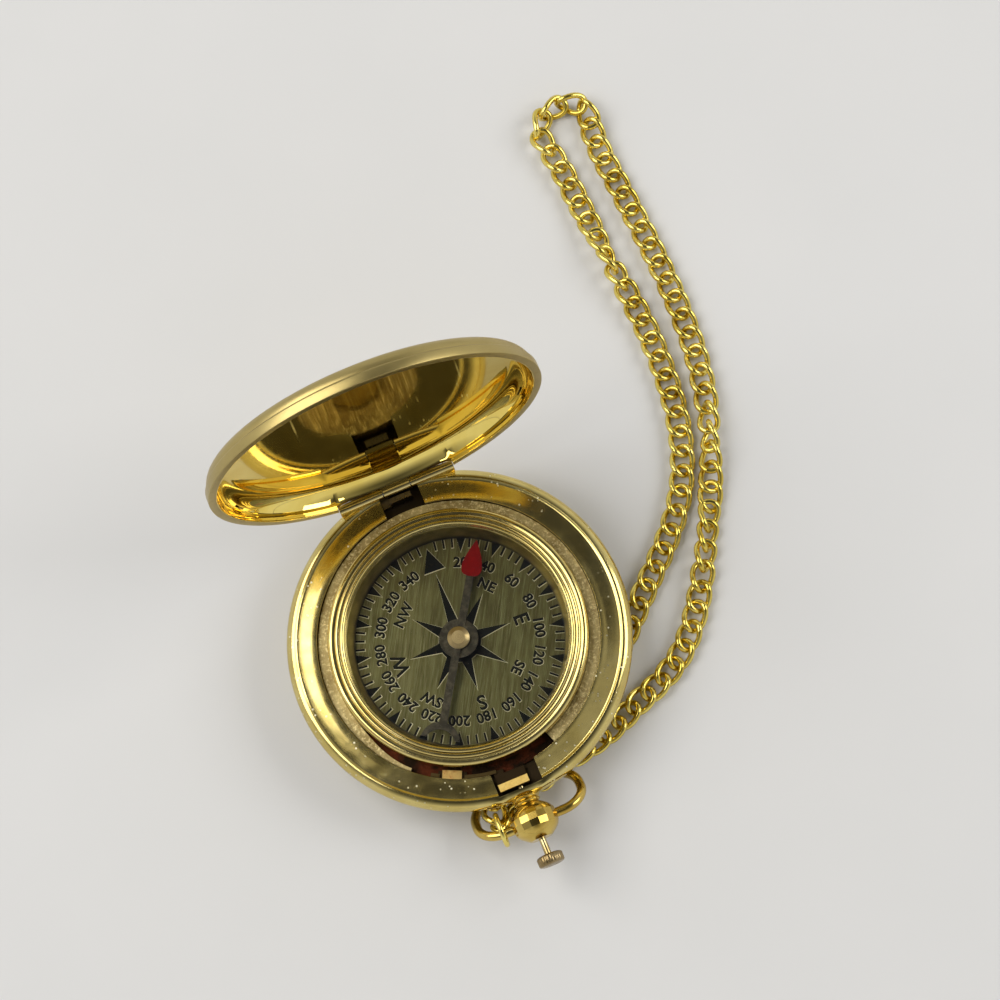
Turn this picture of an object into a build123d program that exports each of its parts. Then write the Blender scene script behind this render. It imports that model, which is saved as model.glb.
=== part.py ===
from build123d import *
import os
from math import asin, atan2, cos, degrees, pi, radians, sin, sqrt, tan

# Pocket compass in a hunter case, with a sprung lid, a push button in the pendant and a curb chain.
# Millimetres, +Z up. The origin is the middle of the foot that the case rests on.
# +Y points at the lid hinge, -Y at the pendant, and +X runs along the hinge.

# Fits between neighbouring pieces
seat_fit = 0.05
running_fit = 0.05
pin_fit = 0.01
motion_gap = 0.15

# Case back and band
foot_radius = 9.0
back_dome_radius = 38.0
back_thickness = 0.6
snap_lip_inset = 1.55
snap_lip_width = 0.55
snap_lip_height = 0.33
case_radius = 22.5
ledge_thickness = 0.6
channel_height = 1.5
band_wall = 1.0
flange_thickness = 0.65
flange_width = 4.1
catch_notch_width = 6.0
catch_notch_depth = 2.85
hinge_slot_width = 5.4
hinge_slot_depth = 2.0

# Lid hinge
hinge_inset = 1.1
hinge_rise = 0.45
hinge_length = 16.0
lid_knuckle_length = 3.7
knuckle_radius = 0.7
knuckle_foot_width = 1.12
hinge_pin_radius = 0.35
lid_open_angle = 94.0
lug_reach = 1.35
lug_thickness = 0.45
lug_drop = 0.15

# Lid
lid_inset = 0.3
lid_rim_height = 1.2
lid_step = 0.35
lid_wall_height = 2.707
lid_dome_radius = 90.0
lid_thickness = 0.6
lid_shoulder = 1.5
lid_lip_width = 0.25
lid_lip_height = 0.45
lid_seat_gap = 0.1
lid_notch_height = 0.8

# Compass capsule
groove_width = 1.5
cup_play = 0.25
cup_wall = 0.5
cup_floor = 0.7
cup_flange_thickness = 0.4
land_start_angle = -70.0
land_sweep = 298.0
dial_thickness = 0.4
dial_drop = 3.0
dial_slope = 0.95
glass_rise = 0.3
glass_thickness = 1.0
bezel_wall = 0.3
bezel_width = 2.3
bezel_lip_height = 0.7
bezel_step = 0.35
bezel_tread = 0.65
bezel_shoulder = 0.25
pivot_radius = 0.35
needle_tip_gap = 0.55
needle_rise = 2.0
needle_thickness = 0.25
needle_arm_width = 1.1
needle_bearing = 32.5
spade_length = 4.1
spade_width = 3.1
crescent_radius = 2.9
crescent_thickness = 0.8
crescent_depth = 0.6
hub_radius = 2.55
hub_thickness = 0.15
hub_bore_radius = 0.8
cap_radius = 1.45
cap_top_radius = 0.87
cap_height = 0.75
jewel_radius = 0.75
jewel_cup_radius = 0.6
jewel_height = 0.45
jewel_recess = 0.3

# Case springs
spring_thickness = 0.45
spring_height = 0.75
leaf_overlap = 0.25
catch_width = 4.0
catch_neck_width = 1.35
catch_offset = -0.6
catch_thickness = 0.8
catch_rise = 0.9
catch_nib = 0.15
lock_anchor_angle = 245.0
lock_foot_length = 3.75
lock_foot_width = 0.9
lock_tail_length = 1.125
lift_anchor_angle = 125.0
lift_foot_length = 2.7
finger_width = 3.0
finger_thickness = 0.7
screw_radius = 0.45
screw_head_radius = 0.9
screw_head_height = 0.5
clamp_width = 2.5
clamp_depth = 1.2
clamp_pin_radius = 0.22

# Pendant, bow and button
pendant_sink = 0.3
neck_radius = 1.8
neck_length = 1.1
spigot_radius = 0.75
ball_radius = 3.05
ball_length = 4.75
ball_belt_length = 1.45
ball_round_radius = 2.65
ball_end_radius = 1.6
ball_end_length = 0.95
ball_sides = 16
button_shaft_radius = 0.45
button_gap = 2.2
button_radius = 1.75
button_length = 1.4
button_flutes = 24
button_flute = 0.14
bow_wire = 1.25
bow_half_width = 7.2
bow_tilt = 45.13
bow_shoulder = 3.2
bow_roundness = 0.85
bow_socket_depth = 0.8

# Chain
ring_wire = 0.75
ring_radius = 2.0
ring_x = -4.4
ring_pull = 40.0
bend_share = 0.45
link_half_length = 1.97
link_half_width = 1.34
link_rise = 0.5
link_wire = 0.64
link_pitch = 2.7
link_corners = 10
link_sides = 5
link_play = 0.16
twisted_links = 5
twist = 70.0

# Radii that follow from the case and from each other
lid_radius = case_radius - lid_inset
hinge_y = case_radius - hinge_inset
flange_bore_radius = case_radius - flange_width
cup_flange_radius = flange_bore_radius - 2 * seat_fit
bezel_radius = flange_bore_radius - groove_width
bezel_lip_radius = bezel_radius - bezel_width
cup_radius = bezel_radius - bezel_wall - seat_fit
ledge_bore_radius = cup_radius + cup_play
dial_view_radius = bezel_lip_radius - dial_slope
needle_reach = dial_view_radius - needle_tip_gap
seam_radius = case_radius - ledge_thickness - channel_height / 2
snap_lip_radius = seam_radius - snap_lip_inset
flange_edge_radius = case_radius - flange_thickness - channel_height / 2
channel_radius = case_radius - band_wall

# Heights that follow from the stack of the case
back_centre = sqrt(back_dome_radius**2 - foot_radius**2)
seam_height = back_centre - sqrt(back_dome_radius**2 - seam_radius**2)
channel_floor = seam_height + ledge_thickness
channel_roof = channel_floor + channel_height
flange_height = channel_roof + flange_thickness
pendant_height = channel_floor + channel_height / 2
hinge_z = flange_height + hinge_rise
lid_seat = flange_height + lid_seat_gap
cup_flange_top = channel_floor + cup_flange_thickness
dial_top = flange_height - dial_drop
glass_bottom = flange_height + glass_rise
glass_top = glass_bottom + glass_thickness
bezel_top = glass_top + bezel_lip_height
needle_bottom = dial_top + needle_rise
needle_top = needle_bottom + needle_thickness
neck_seat = case_radius - pendant_sink
ball_start = neck_seat + neck_length
ball_y = -(ball_start + ball_length / 2)
button_start = ball_start + ball_length + button_gap
hinge_axis = Axis((0, hinge_y, hinge_z), (1, 0, 0))
hinge_plane = Plane(origin=(0, hinge_y, hinge_z), x_dir=(0, 1, 0), z_dir=(1, 0, 0))
pendant_axis = Axis((0, 0, pendant_height), (0, 1, 0))


def pendant_plane(distance):
    """Plane across the pendant axis, facing out, at a distance from the middle of the case."""
    return Plane(origin=(0, -distance, pendant_height), x_dir=(1, 0, 0), z_dir=(0, -1, 0))


def save(piece, name):
    """Name a finished piece and write its own file."""
    piece.label = name
    export_step(piece, f"parts/{name}.step")


os.makedirs("parts", exist_ok=True)

# Back cover: a pressed dome with a small flat foot and a lip that snaps into the band
back_inner = back_dome_radius - back_thickness
foot_inner = sqrt(back_inner**2 - (back_centre - back_thickness) ** 2)
lip_inner = snap_lip_radius - snap_lip_width
lip_top = seam_height + snap_lip_height
outer_start = degrees(asin(foot_radius / back_dome_radius)) - 90
outer_end = degrees(asin(seam_radius / back_dome_radius)) - 90
inner_start = degrees(asin(foot_inner / back_inner)) - 90
inner_end = degrees(asin(lip_inner / back_inner)) - 90
with BuildPart() as back_cover:
    with BuildSketch(Plane.XZ):
        with BuildLine():
            outside = CenterArc((0, back_centre), back_dome_radius, outer_start, outer_end - outer_start)
            inside = CenterArc((0, back_centre), back_inner, inner_start, inner_end - inner_start)
            Polyline(
                outside @ 1,
                (snap_lip_radius, seam_height),
                (snap_lip_radius, lip_top),
                (lip_inner, lip_top),
                inside @ 1,
            )
            Polyline(inside @ 0, (0, back_thickness), (0, 0), outside @ 0)
        make_face()
    revolve(axis=Axis.Z)
save(back_cover.part, "back_cover")

# Case band: a bellied ring with a channel for the springs under its flange
with BuildPart() as case_band:
    with BuildSketch(Plane.XZ):
        with BuildLine():
            belly = (case_radius, pendant_height)
            upper = TangentArc(belly, (flange_edge_radius, flange_height), tangent=(0, 1))
            lower = TangentArc(belly, (seam_radius, seam_height), tangent=(0, -1))
            Polyline(
                lower @ 1,
                (ledge_bore_radius, seam_height),
                (ledge_bore_radius, channel_floor),
                (channel_radius, channel_floor),
                (channel_radius, channel_roof),
                (flange_bore_radius, channel_roof),
                (flange_bore_radius, flange_height),
                upper @ 1,
            )
        make_face()
    revolve(axis=Axis.Z)
    with BuildSketch(Plane.XY.offset(seam_height)):
        Circle(snap_lip_radius + seat_fit)
        Circle(lip_inner - seat_fit, mode=Mode.SUBTRACT)
    extrude(amount=snap_lip_height + seat_fit, mode=Mode.SUBTRACT)
    # The catch comes up through a notch at the front
    with BuildSketch(Plane.XY.offset(channel_roof)):
        with Locations((0, -flange_bore_radius)):
            Rectangle(catch_notch_width, 2 * catch_notch_depth)
    extrude(amount=flange_thickness, mode=Mode.SUBTRACT)
    # The lift spring and the lid's knuckle share a slot at the hinge
    slot_start = hinge_y - knuckle_radius - hinge_slot_depth
    with BuildSketch(Plane.XY.offset(channel_roof)):
        with Locations((0, slot_start)):
            Rectangle(hinge_slot_width, 2 * case_radius, align=(Align.CENTER, Align.MIN))
    extrude(amount=flange_thickness, mode=Mode.SUBTRACT)
    # Seat and hole for the pendant
    with BuildSketch(pendant_plane(neck_seat)):
        Circle(neck_radius + seat_fit)
    extrude(amount=case_radius - neck_seat, mode=Mode.SUBTRACT)
    with BuildSketch(pendant_plane(channel_radius - band_wall)):
        Circle(spigot_radius)
    extrude(amount=2 * band_wall, mode=Mode.SUBTRACT)
save(case_band.part, "case_band")

# Case knuckles: two tubes on feet, shaped to sit on the band
foot_drop = hinge_z - channel_roof
knuckle_start = lid_knuckle_length / 2 + motion_gap
with BuildPart() as case_knuckles:
    with BuildSketch(hinge_plane.offset(knuckle_start)):
        Circle(knuckle_radius)
        with Locations((0, -foot_drop / 2)):
            Rectangle(knuckle_foot_width, foot_drop)
        Circle(hinge_pin_radius + pin_fit, mode=Mode.SUBTRACT)
    extrude(amount=hinge_length / 2 - knuckle_start)
    mirror(about=Plane.YZ)
    add(case_band.part, mode=Mode.SUBTRACT)
save(case_knuckles.part, "case_knuckles")

# Hinge pin: a steel wire through all three knuckles
with BuildPart() as hinge_pin:
    with BuildSketch(hinge_plane.offset(-hinge_length / 2)):
        Circle(hinge_pin_radius)
    extrude(amount=hinge_length)
save(hinge_pin.part, "hinge_pin")

# Lid: a spun dome with a rim band outside and a shallow catch lip inside, made shut and then opened
wall_outer = lid_radius - lid_step
wall_inner = wall_outer - lid_thickness
inner_dome = lid_dome_radius - lid_thickness
dome_centre = lid_wall_height - sqrt(lid_dome_radius**2 - wall_outer**2)
inner_corner = dome_centre + sqrt(inner_dome**2 - wall_inner**2)
rim_step_top = lid_rim_height + lid_step / 2
crown_sweep = degrees(asin(wall_outer / lid_dome_radius))
vault_sweep = degrees(asin(wall_inner / inner_dome))
with BuildPart() as lid:
    with BuildSketch(Plane(origin=(0, 0, lid_seat), x_dir=(1, 0, 0), z_dir=(0, -1, 0))) as lid_profile:
        with BuildLine():
            crown = CenterArc((0, dome_centre), lid_dome_radius, 90 - crown_sweep, crown_sweep)
            vault = CenterArc((0, dome_centre), inner_dome, 90 - vault_sweep, vault_sweep)
            Polyline(
                crown @ 0,
                (wall_outer, rim_step_top),
                (lid_radius, lid_rim_height),
                (lid_radius, 0),
                (wall_inner - lid_lip_width, 0),
                (wall_inner - lid_lip_width, lid_lip_height),
                (wall_inner, lid_lip_height),
                vault @ 0,
            )
            Line(crown @ 1, vault @ 1)
        make_face()
        fillet(lid_profile.vertices().sort_by_distance((wall_outer, lid_wall_height))[0], lid_shoulder)
        fillet(
            lid_profile.vertices().sort_by_distance((wall_inner, inner_corner))[0],
            lid_shoulder - lid_thickness,
        )
    revolve(axis=Axis.Z)
    # Room for the knuckles
    with BuildSketch(Plane.XY.offset(lid_seat)):
        with Locations((0, hinge_y)):
            Rectangle(hinge_length + 4 * motion_gap, 2 * (lid_radius - wall_inner) + 2 * knuckle_radius)
    extrude(amount=hinge_z + lid_notch_height - lid_seat, mode=Mode.SUBTRACT)
save(lid.part.rotate(hinge_axis, -lid_open_angle), "lid")

# Lid knuckle: the middle tube, with a leaf to the lid and a lug for the lift spring
with BuildPart() as lid_knuckle:
    with BuildSketch(hinge_plane.offset(-lid_knuckle_length / 2)):
        Circle(knuckle_radius)
        with Locations((0, lid_notch_height / 2)):
            Rectangle(knuckle_radius, lid_notch_height, align=(Align.MIN, Align.CENTER))
        with Locations((0, -lug_drop)):
            Rectangle(lug_reach, lug_thickness, align=(Align.MAX, Align.MIN))
        Circle(hinge_pin_radius + running_fit, mode=Mode.SUBTRACT)
    extrude(amount=lid_knuckle_length)
save(lid_knuckle.part.rotate(hinge_axis, -lid_open_angle), "lid_knuckle")

# Capsule cup: a turned bowl whose flange lies on the band's ledge
dial_bottom = dial_top - dial_thickness
cup_inner = cup_radius - cup_wall
land_inner = bezel_radius + seat_fit
land_width = cup_flange_radius - land_inner
with BuildPart() as capsule_cup:
    with BuildSketch(Plane.XZ):
        with BuildLine():
            Polyline(
                (pivot_radius, dial_bottom - cup_floor),
                (cup_radius, dial_bottom - cup_floor),
                (cup_radius, channel_floor),
                (cup_flange_radius, channel_floor),
                (cup_flange_radius, cup_flange_top),
                (cup_radius, cup_flange_top),
                (cup_radius, glass_bottom),
                (cup_inner, glass_bottom),
                (cup_inner, dial_bottom),
                (pivot_radius, dial_bottom),
                close=True,
            )
        make_face()
    revolve(axis=Axis.Z)
    # A land fills the groove round the bezel, but for a gap where the lock spring lies
    with BuildSketch(Plane.XY.offset(cup_flange_top)):
        with BuildLine():
            CenterArc((0, 0), land_inner + land_width / 2, land_start_angle, land_sweep)
        trace(line_width=land_width)
    extrude(amount=channel_roof - cup_flange_top)
save(capsule_cup.part, "capsule_cup")

# Dial: a plate on the floor of the cup
with BuildPart() as dial_plate:
    with BuildSketch(Plane.XY.offset(dial_bottom)):
        Circle(cup_inner - seat_fit)
        Circle(pivot_radius + seat_fit, mode=Mode.SUBTRACT)
    extrude(amount=dial_thickness)
save(dial_plate.part, "dial_plate")

# Dial ring: a sloping wall that holds the dial down and carries the glass
with BuildPart() as dial_ring:
    with BuildSketch(Plane.XZ):
        with BuildLine():
            Polyline(
                (dial_view_radius, dial_top),
                (cup_inner - seat_fit, dial_top),
                (cup_inner - seat_fit, glass_bottom),
                (bezel_lip_radius - bezel_step / 2, glass_bottom),
                close=True,
            )
        make_face()
    revolve(axis=Axis.Z)
save(dial_ring.part, "dial_ring")

# Glass
with BuildPart() as glass:
    with BuildSketch(Plane.XY.offset(glass_bottom)):
        Circle(cup_radius - seat_fit)
    extrude(amount=glass_thickness)
save(glass.part, "glass")

# Bezel: a stepped ring pushed over the cup
shoulder_top = glass_top + bezel_shoulder
with BuildPart() as bezel:
    with BuildSketch(Plane.XZ):
        with BuildLine():
            Polyline(
                (cup_radius + seat_fit, cup_flange_top),
                (bezel_radius, cup_flange_top),
                (bezel_radius, shoulder_top - bezel_step),
                (bezel_radius - bezel_step, shoulder_top),
                (bezel_lip_radius + 2 * bezel_tread, shoulder_top),
                (bezel_lip_radius + 2 * bezel_tread, (shoulder_top + bezel_top) / 2),
                (bezel_lip_radius + bezel_tread, (shoulder_top + bezel_top) / 2),
                (bezel_lip_radius + bezel_tread, bezel_top),
                (bezel_lip_radius, bezel_top),
                (bezel_lip_radius - bezel_step / 2, glass_top),
                (cup_radius + seat_fit, glass_top),
                close=True,
            )
        make_face()
    revolve(axis=Axis.Z)
save(bezel.part, "bezel")

# Pivot: a pointed steel pin riveted in the cup's floor
jewel_bottom = needle_top
pivot_tip = jewel_bottom + jewel_recess - running_fit
with BuildPart() as pivot_pin:
    with BuildSketch(Plane.XZ):
        with BuildLine():
            Polyline(
                (0, dial_bottom - cup_floor),
                (pivot_radius, dial_bottom - cup_floor),
                (pivot_radius, needle_bottom - hub_thickness),
                (0, pivot_tip),
                close=True,
            )
        make_face()
    revolve(axis=Axis.Z)
save(pivot_pin.part, "pivot_pin")

# Needle: a cut steel strip with a spade point and a crescent tail
needle_turn = 90 - needle_bearing
needle_plane = Plane(origin=(0, 0, needle_bottom), z_dir=(0, 0, 1)).rotated((0, 0, needle_turn))
spade_base = needle_reach - spade_length
tail_middle = needle_reach - crescent_depth - crescent_thickness / 2
with BuildPart() as needle:
    with BuildSketch(needle_plane):
        with Locations((-(needle_reach - crescent_depth - crescent_thickness + crescent_radius), 0)):
            Circle(crescent_radius)
        with Locations((-(needle_reach - crescent_depth + crescent_radius), 0)):
            Circle(crescent_radius, mode=Mode.SUBTRACT)
        Circle(needle_reach, mode=Mode.INTERSECT)
        with Locations(((spade_base - tail_middle) / 2, 0)):
            Rectangle(spade_base + tail_middle, needle_arm_width)
        with BuildLine():
            side = RadiusArc((spade_base, spade_width / 2), (needle_reach, 0), spade_length * 2)
            other = RadiusArc((needle_reach, 0), (spade_base, -spade_width / 2), spade_length * 2)
            Line(other @ 1, side @ 0)
        make_face()
        Circle(cap_radius)
        Circle(hub_bore_radius, mode=Mode.SUBTRACT)
    extrude(amount=needle_thickness)
save(needle.part, "needle")

# Hub disc under the needle, with the cap and its jewel on top
with BuildPart() as needle_hub:
    with BuildSketch(Plane.XY.offset(needle_bottom - hub_thickness)):
        Circle(hub_radius)
        Circle(hub_bore_radius, mode=Mode.SUBTRACT)
    extrude(amount=hub_thickness)
save(needle_hub.part, "needle_hub")

with BuildPart() as needle_cap:
    with BuildSketch(Plane.XZ):
        with BuildLine():
            Polyline(
                (jewel_radius, needle_top),
                (cap_radius, needle_top),
                (cap_radius, needle_top + cap_height / 2),
                (cap_top_radius, needle_top + cap_height),
                (0, needle_top + cap_height),
                (0, jewel_bottom + jewel_height),
                (jewel_radius, jewel_bottom + jewel_height),
                close=True,
            )
        make_face()
    revolve(axis=Axis.Z)
save(needle_cap.part, "needle_cap")

with BuildPart() as needle_jewel:
    with BuildSketch(Plane.XZ):
        with BuildLine():
            Polyline(
                (jewel_cup_radius, jewel_bottom),
                (jewel_radius, jewel_bottom),
                (jewel_radius, jewel_bottom + jewel_height),
                (0, jewel_bottom + jewel_height),
                (0, jewel_bottom + jewel_recess),
                close=True,
            )
        make_face()
    revolve(axis=Axis.Z)
save(needle_jewel.part, "needle_jewel")

# Lock spring: a steel leaf in the groove round the bezel, ending in the catch for the lid
catch_face = wall_inner - lid_lip_width - 2 * motion_gap
lock_bottom = cup_flange_top + motion_gap
lock_leaf_radius = flange_bore_radius - motion_gap - spring_thickness / 2
lock_foot_radius = lock_leaf_radius + (spring_thickness - lock_foot_width) / 2
lock_foot_sweep = degrees(lock_foot_length / lock_leaf_radius)
leaf_start = lock_anchor_angle + lock_foot_sweep / 2 - degrees(leaf_overlap / lock_leaf_radius)
tail_end = 2 * lock_anchor_angle - leaf_start
tail_sweep = degrees(lock_tail_length / lock_leaf_radius)
catch_left = catch_offset - catch_width / 2
catch_neck_length = catch_face - lock_leaf_radius + spring_thickness / 2
catch_angle = 270 + degrees(atan2(catch_left + spring_thickness, lock_leaf_radius))
with BuildPart() as lock_spring:
    with BuildSketch(Plane.XY.offset(lock_bottom)):
        with BuildLine():
            CenterArc((0, 0), lock_foot_radius, lock_anchor_angle - lock_foot_sweep / 2, lock_foot_sweep)
        trace(line_width=lock_foot_width)
        with Locations((catch_left, -catch_face)):
            Rectangle(catch_width, catch_face - flange_bore_radius, align=(Align.MIN, Align.MIN))
            Rectangle(catch_neck_width, catch_neck_length, align=(Align.MIN, Align.MIN))
        with Locations(Location((0, 0), lock_anchor_angle)):
            with Locations((lock_foot_radius, 0)):
                Circle(clamp_pin_radius + running_fit, mode=Mode.SUBTRACT)
    extrude(amount=spring_thickness)
    with BuildSketch(Plane.XY.offset(lock_bottom)):
        with BuildLine():
            CenterArc((0, 0), lock_leaf_radius, leaf_start, catch_angle - leaf_start)
        trace(line_width=spring_thickness)
        with BuildLine():
            CenterArc((0, 0), lock_leaf_radius, tail_end - tail_sweep, tail_sweep)
        trace(line_width=spring_thickness)
    extrude(amount=spring_height)
    with BuildSketch(Plane.XY.offset(lock_bottom)):
        with Locations((catch_left, -catch_face)):
            Rectangle(catch_width, catch_thickness, align=(Align.MIN, Align.MIN))
    extrude(amount=flange_height + catch_rise - lock_bottom)
    with BuildSketch(Plane.XY.offset(flange_height + catch_rise - spring_thickness)):
        with Locations((catch_left, -catch_face - catch_nib)):
            Rectangle(catch_width, catch_thickness, align=(Align.MIN, Align.MIN))
    extrude(amount=spring_thickness)
save(lock_spring.part, "lock_spring")

# Lock spring clamp: a block with a pin through the foot of the spring
clamp_bottom = lock_bottom + spring_thickness + motion_gap / 3
with BuildPart() as lock_spring_clamp:
    with BuildSketch(Plane.XY.offset(cup_flange_top)):
        with Locations(Location((0, 0), lock_anchor_angle)):
            with Locations((lock_foot_radius, 0)):
                Circle(clamp_pin_radius)
    extrude(amount=clamp_bottom - cup_flange_top)
    with BuildSketch(Plane.XY.offset(clamp_bottom)):
        with Locations(Location((0, 0), lock_anchor_angle)):
            with Locations((lock_foot_radius, 0)):
                Rectangle(clamp_depth, clamp_width)
    extrude(amount=channel_roof - seat_fit - clamp_bottom)
save(lock_spring_clamp.part, "lock_spring_clamp")

# Lift spring: a leaf in the channel, whose finger comes up behind the lid's knuckle
lift_bottom = channel_floor + 2 * motion_gap
lift_leaf_radius = channel_radius - 2 * motion_gap - spring_thickness / 2
lift_foot_radius = lift_leaf_radius + spring_thickness / 2 - screw_head_radius
finger_face = hinge_y - knuckle_radius - 2 * motion_gap
finger_back = finger_face - finger_thickness
lift_foot_sweep = degrees(lift_foot_length / lift_foot_radius)
finger_angle = 90 + degrees(finger_width / lift_leaf_radius)
lift_leaf_end = lift_anchor_angle - lift_foot_sweep / 2 + degrees(leaf_overlap / lift_leaf_radius)
with BuildPart() as lift_spring:
    with BuildSketch(Plane.XY.offset(lift_bottom)):
        with BuildLine():
            CenterArc((0, 0), lift_foot_radius, lift_anchor_angle - lift_foot_sweep / 2, lift_foot_sweep)
        trace(line_width=2 * screw_head_radius)
        with Locations(Location((0, 0), lift_anchor_angle)):
            with Locations((lift_foot_radius, 0)):
                Circle(screw_radius + running_fit, mode=Mode.SUBTRACT)
    extrude(amount=spring_thickness)
    with BuildSketch(Plane.XY.offset(lift_bottom)):
        with BuildLine():
            CenterArc((0, 0), lift_leaf_radius, finger_angle, lift_leaf_end - finger_angle)
        trace(line_width=spring_thickness)
        with Locations((-finger_width, finger_back)):
            Rectangle(finger_width + finger_width / 2, finger_thickness, align=(Align.MIN, Align.MIN))
            Rectangle(finger_width / 2, lift_leaf_radius - finger_back, align=(Align.MIN, Align.MIN))
    extrude(amount=spring_height)
    with BuildSketch(Plane.XY.offset(lift_bottom)):
        with Locations((0, finger_back)):
            Rectangle(finger_width, finger_thickness, align=(Align.CENTER, Align.MIN))
    extrude(amount=hinge_z + motion_gap - lift_bottom)
save(lift_spring.part, "lift_spring")

# Lift spring screw
head_bottom = lift_bottom + spring_thickness + motion_gap / 3
with BuildPart() as lift_spring_screw:
    with BuildSketch(Plane.XY.offset(channel_floor)):
        with Locations(Location((0, 0), lift_anchor_angle)):
            with Locations((lift_foot_radius, 0)):
                Circle(screw_radius)
    extrude(amount=head_bottom - channel_floor)
    with BuildSketch(Plane.XY.offset(head_bottom)):
        with Locations(Location((0, 0), lift_anchor_angle)):
            with Locations((lift_foot_radius, 0)):
                Circle(screw_head_radius)
                Rectangle(2 * screw_head_radius, screw_radius / 2, mode=Mode.SUBTRACT)
    extrude(amount=screw_head_height)
save(lift_spring_screw.part, "lift_spring_screw")

# Pendant neck: a tube with two beads, let into the band
bead = neck_length / 2
valley = neck_radius - bead / 2
shaft_bore = button_shaft_radius + running_fit
turned_plane = Plane(origin=(0, 0, pendant_height), x_dir=(0, -1, 0), z_dir=(1, 0, 0))
with BuildPart() as pendant_neck:
    with BuildSketch(turned_plane):
        with BuildLine():
            first = ThreePointArc(
                (neck_seat, valley),
                (neck_seat + bead / 2, neck_radius),
                (neck_seat + bead, valley),
            )
            second = ThreePointArc(first @ 1, (ball_start - bead / 2, neck_radius), (ball_start, valley))
            Polyline(
                first @ 0,
                (neck_seat, spigot_radius),
                (channel_radius, spigot_radius),
                (channel_radius, shaft_bore),
                (ball_start, shaft_bore),
                second @ 1,
            )
        make_face()
    revolve(axis=pendant_axis)
save(pendant_neck.part, "pendant_neck")

# Pendant ball: cut in flat facets, bored for the button and drilled at the sides for the bow
with BuildPart() as pendant_ball:
    for distance, radius in (
        (ball_start, ball_end_radius),
        (ball_start + ball_end_length, ball_round_radius),
        (ball_start + (ball_length - ball_belt_length) / 2, ball_radius),
        (ball_start + (ball_length + ball_belt_length) / 2, ball_radius),
        (ball_start + ball_length - ball_end_length, ball_round_radius),
        (ball_start + ball_length, ball_end_radius),
    ):
        with BuildSketch(pendant_plane(distance)):
            RegularPolygon(radius, ball_sides, major_radius=False, rotation=180 / ball_sides)
    loft(ruled=True)
    with BuildSketch(pendant_plane(ball_start)):
        Circle(shaft_bore)
    extrude(amount=ball_length, mode=Mode.SUBTRACT)
    for side_plane in (Plane.YZ.offset(ball_radius), Plane.YZ.offset(-ball_radius)):
        with BuildSketch(side_plane):
            with Locations((ball_y, pendant_height)):
                Circle(bow_wire / 2 + running_fit)
    extrude(amount=bow_socket_depth, both=True, mode=Mode.SUBTRACT)
save(pendant_ball.part, "pendant_ball")

# Bow: a bent wire stirrup, swung back under the case until it meets the ground
bow_reach = (pendant_height - bow_wire / 2 - seat_fit) / sin(radians(bow_tilt))
bow_corner = bow_roundness * min(bow_half_width, bow_reach - bow_shoulder)
bow_plane = Plane(
    origin=(0, ball_y, pendant_height),
    x_dir=(1, 0, 0),
    z_dir=(0, sin(radians(bow_tilt)), cos(radians(bow_tilt))),
)
bow_end = ball_radius - bow_socket_depth + running_fit
with BuildPart() as bow:
    with BuildLine(bow_plane) as bow_line:
        FilletPolyline(
            (bow_end, 0),
            (bow_half_width, 0),
            (bow_half_width, bow_reach),
            (-bow_half_width, bow_reach),
            (-bow_half_width, 0),
            (-bow_end, 0),
            radius=(bow_shoulder, bow_corner, bow_corner, bow_shoulder),
        )
    with BuildSketch(Plane(origin=bow_line.line @ 0, z_dir=bow_line.line % 0)):
        Circle(bow_wire / 2)
    sweep()
save(bow.part, "bow")

# Button: a push rod through the pendant and a knurled head
with BuildPart() as button_shaft:
    with BuildSketch(pendant_plane(catch_face + motion_gap)):
        Circle(button_shaft_radius)
    extrude(amount=button_start - catch_face - motion_gap)
save(button_shaft.part, "button_shaft")

with BuildPart() as button_head:
    with BuildSketch(pendant_plane(button_start)):
        Circle(button_radius)
        with PolarLocations(button_radius, button_flutes):
            RegularPolygon(button_flute, 4, mode=Mode.SUBTRACT)
    extrude(amount=button_length)
save(button_head.part, "button_head")

# Jump ring: hangs on the stub of the bow beside the ball, pulled towards the chain
ring_offset = ring_radius - ring_wire / 2 - bow_wire / 2 - seat_fit
ring_y = ball_y + ring_offset * cos(radians(ring_pull))
ring_z = pendant_height - ring_offset * sin(radians(ring_pull))
with BuildPart() as jump_ring:
    with Locations((ring_x, ring_y, ring_z)):
        Torus(ring_radius, ring_wire / 2, rotation=(0, 90, 0))
save(jump_ring.part, "jump_ring")

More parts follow.
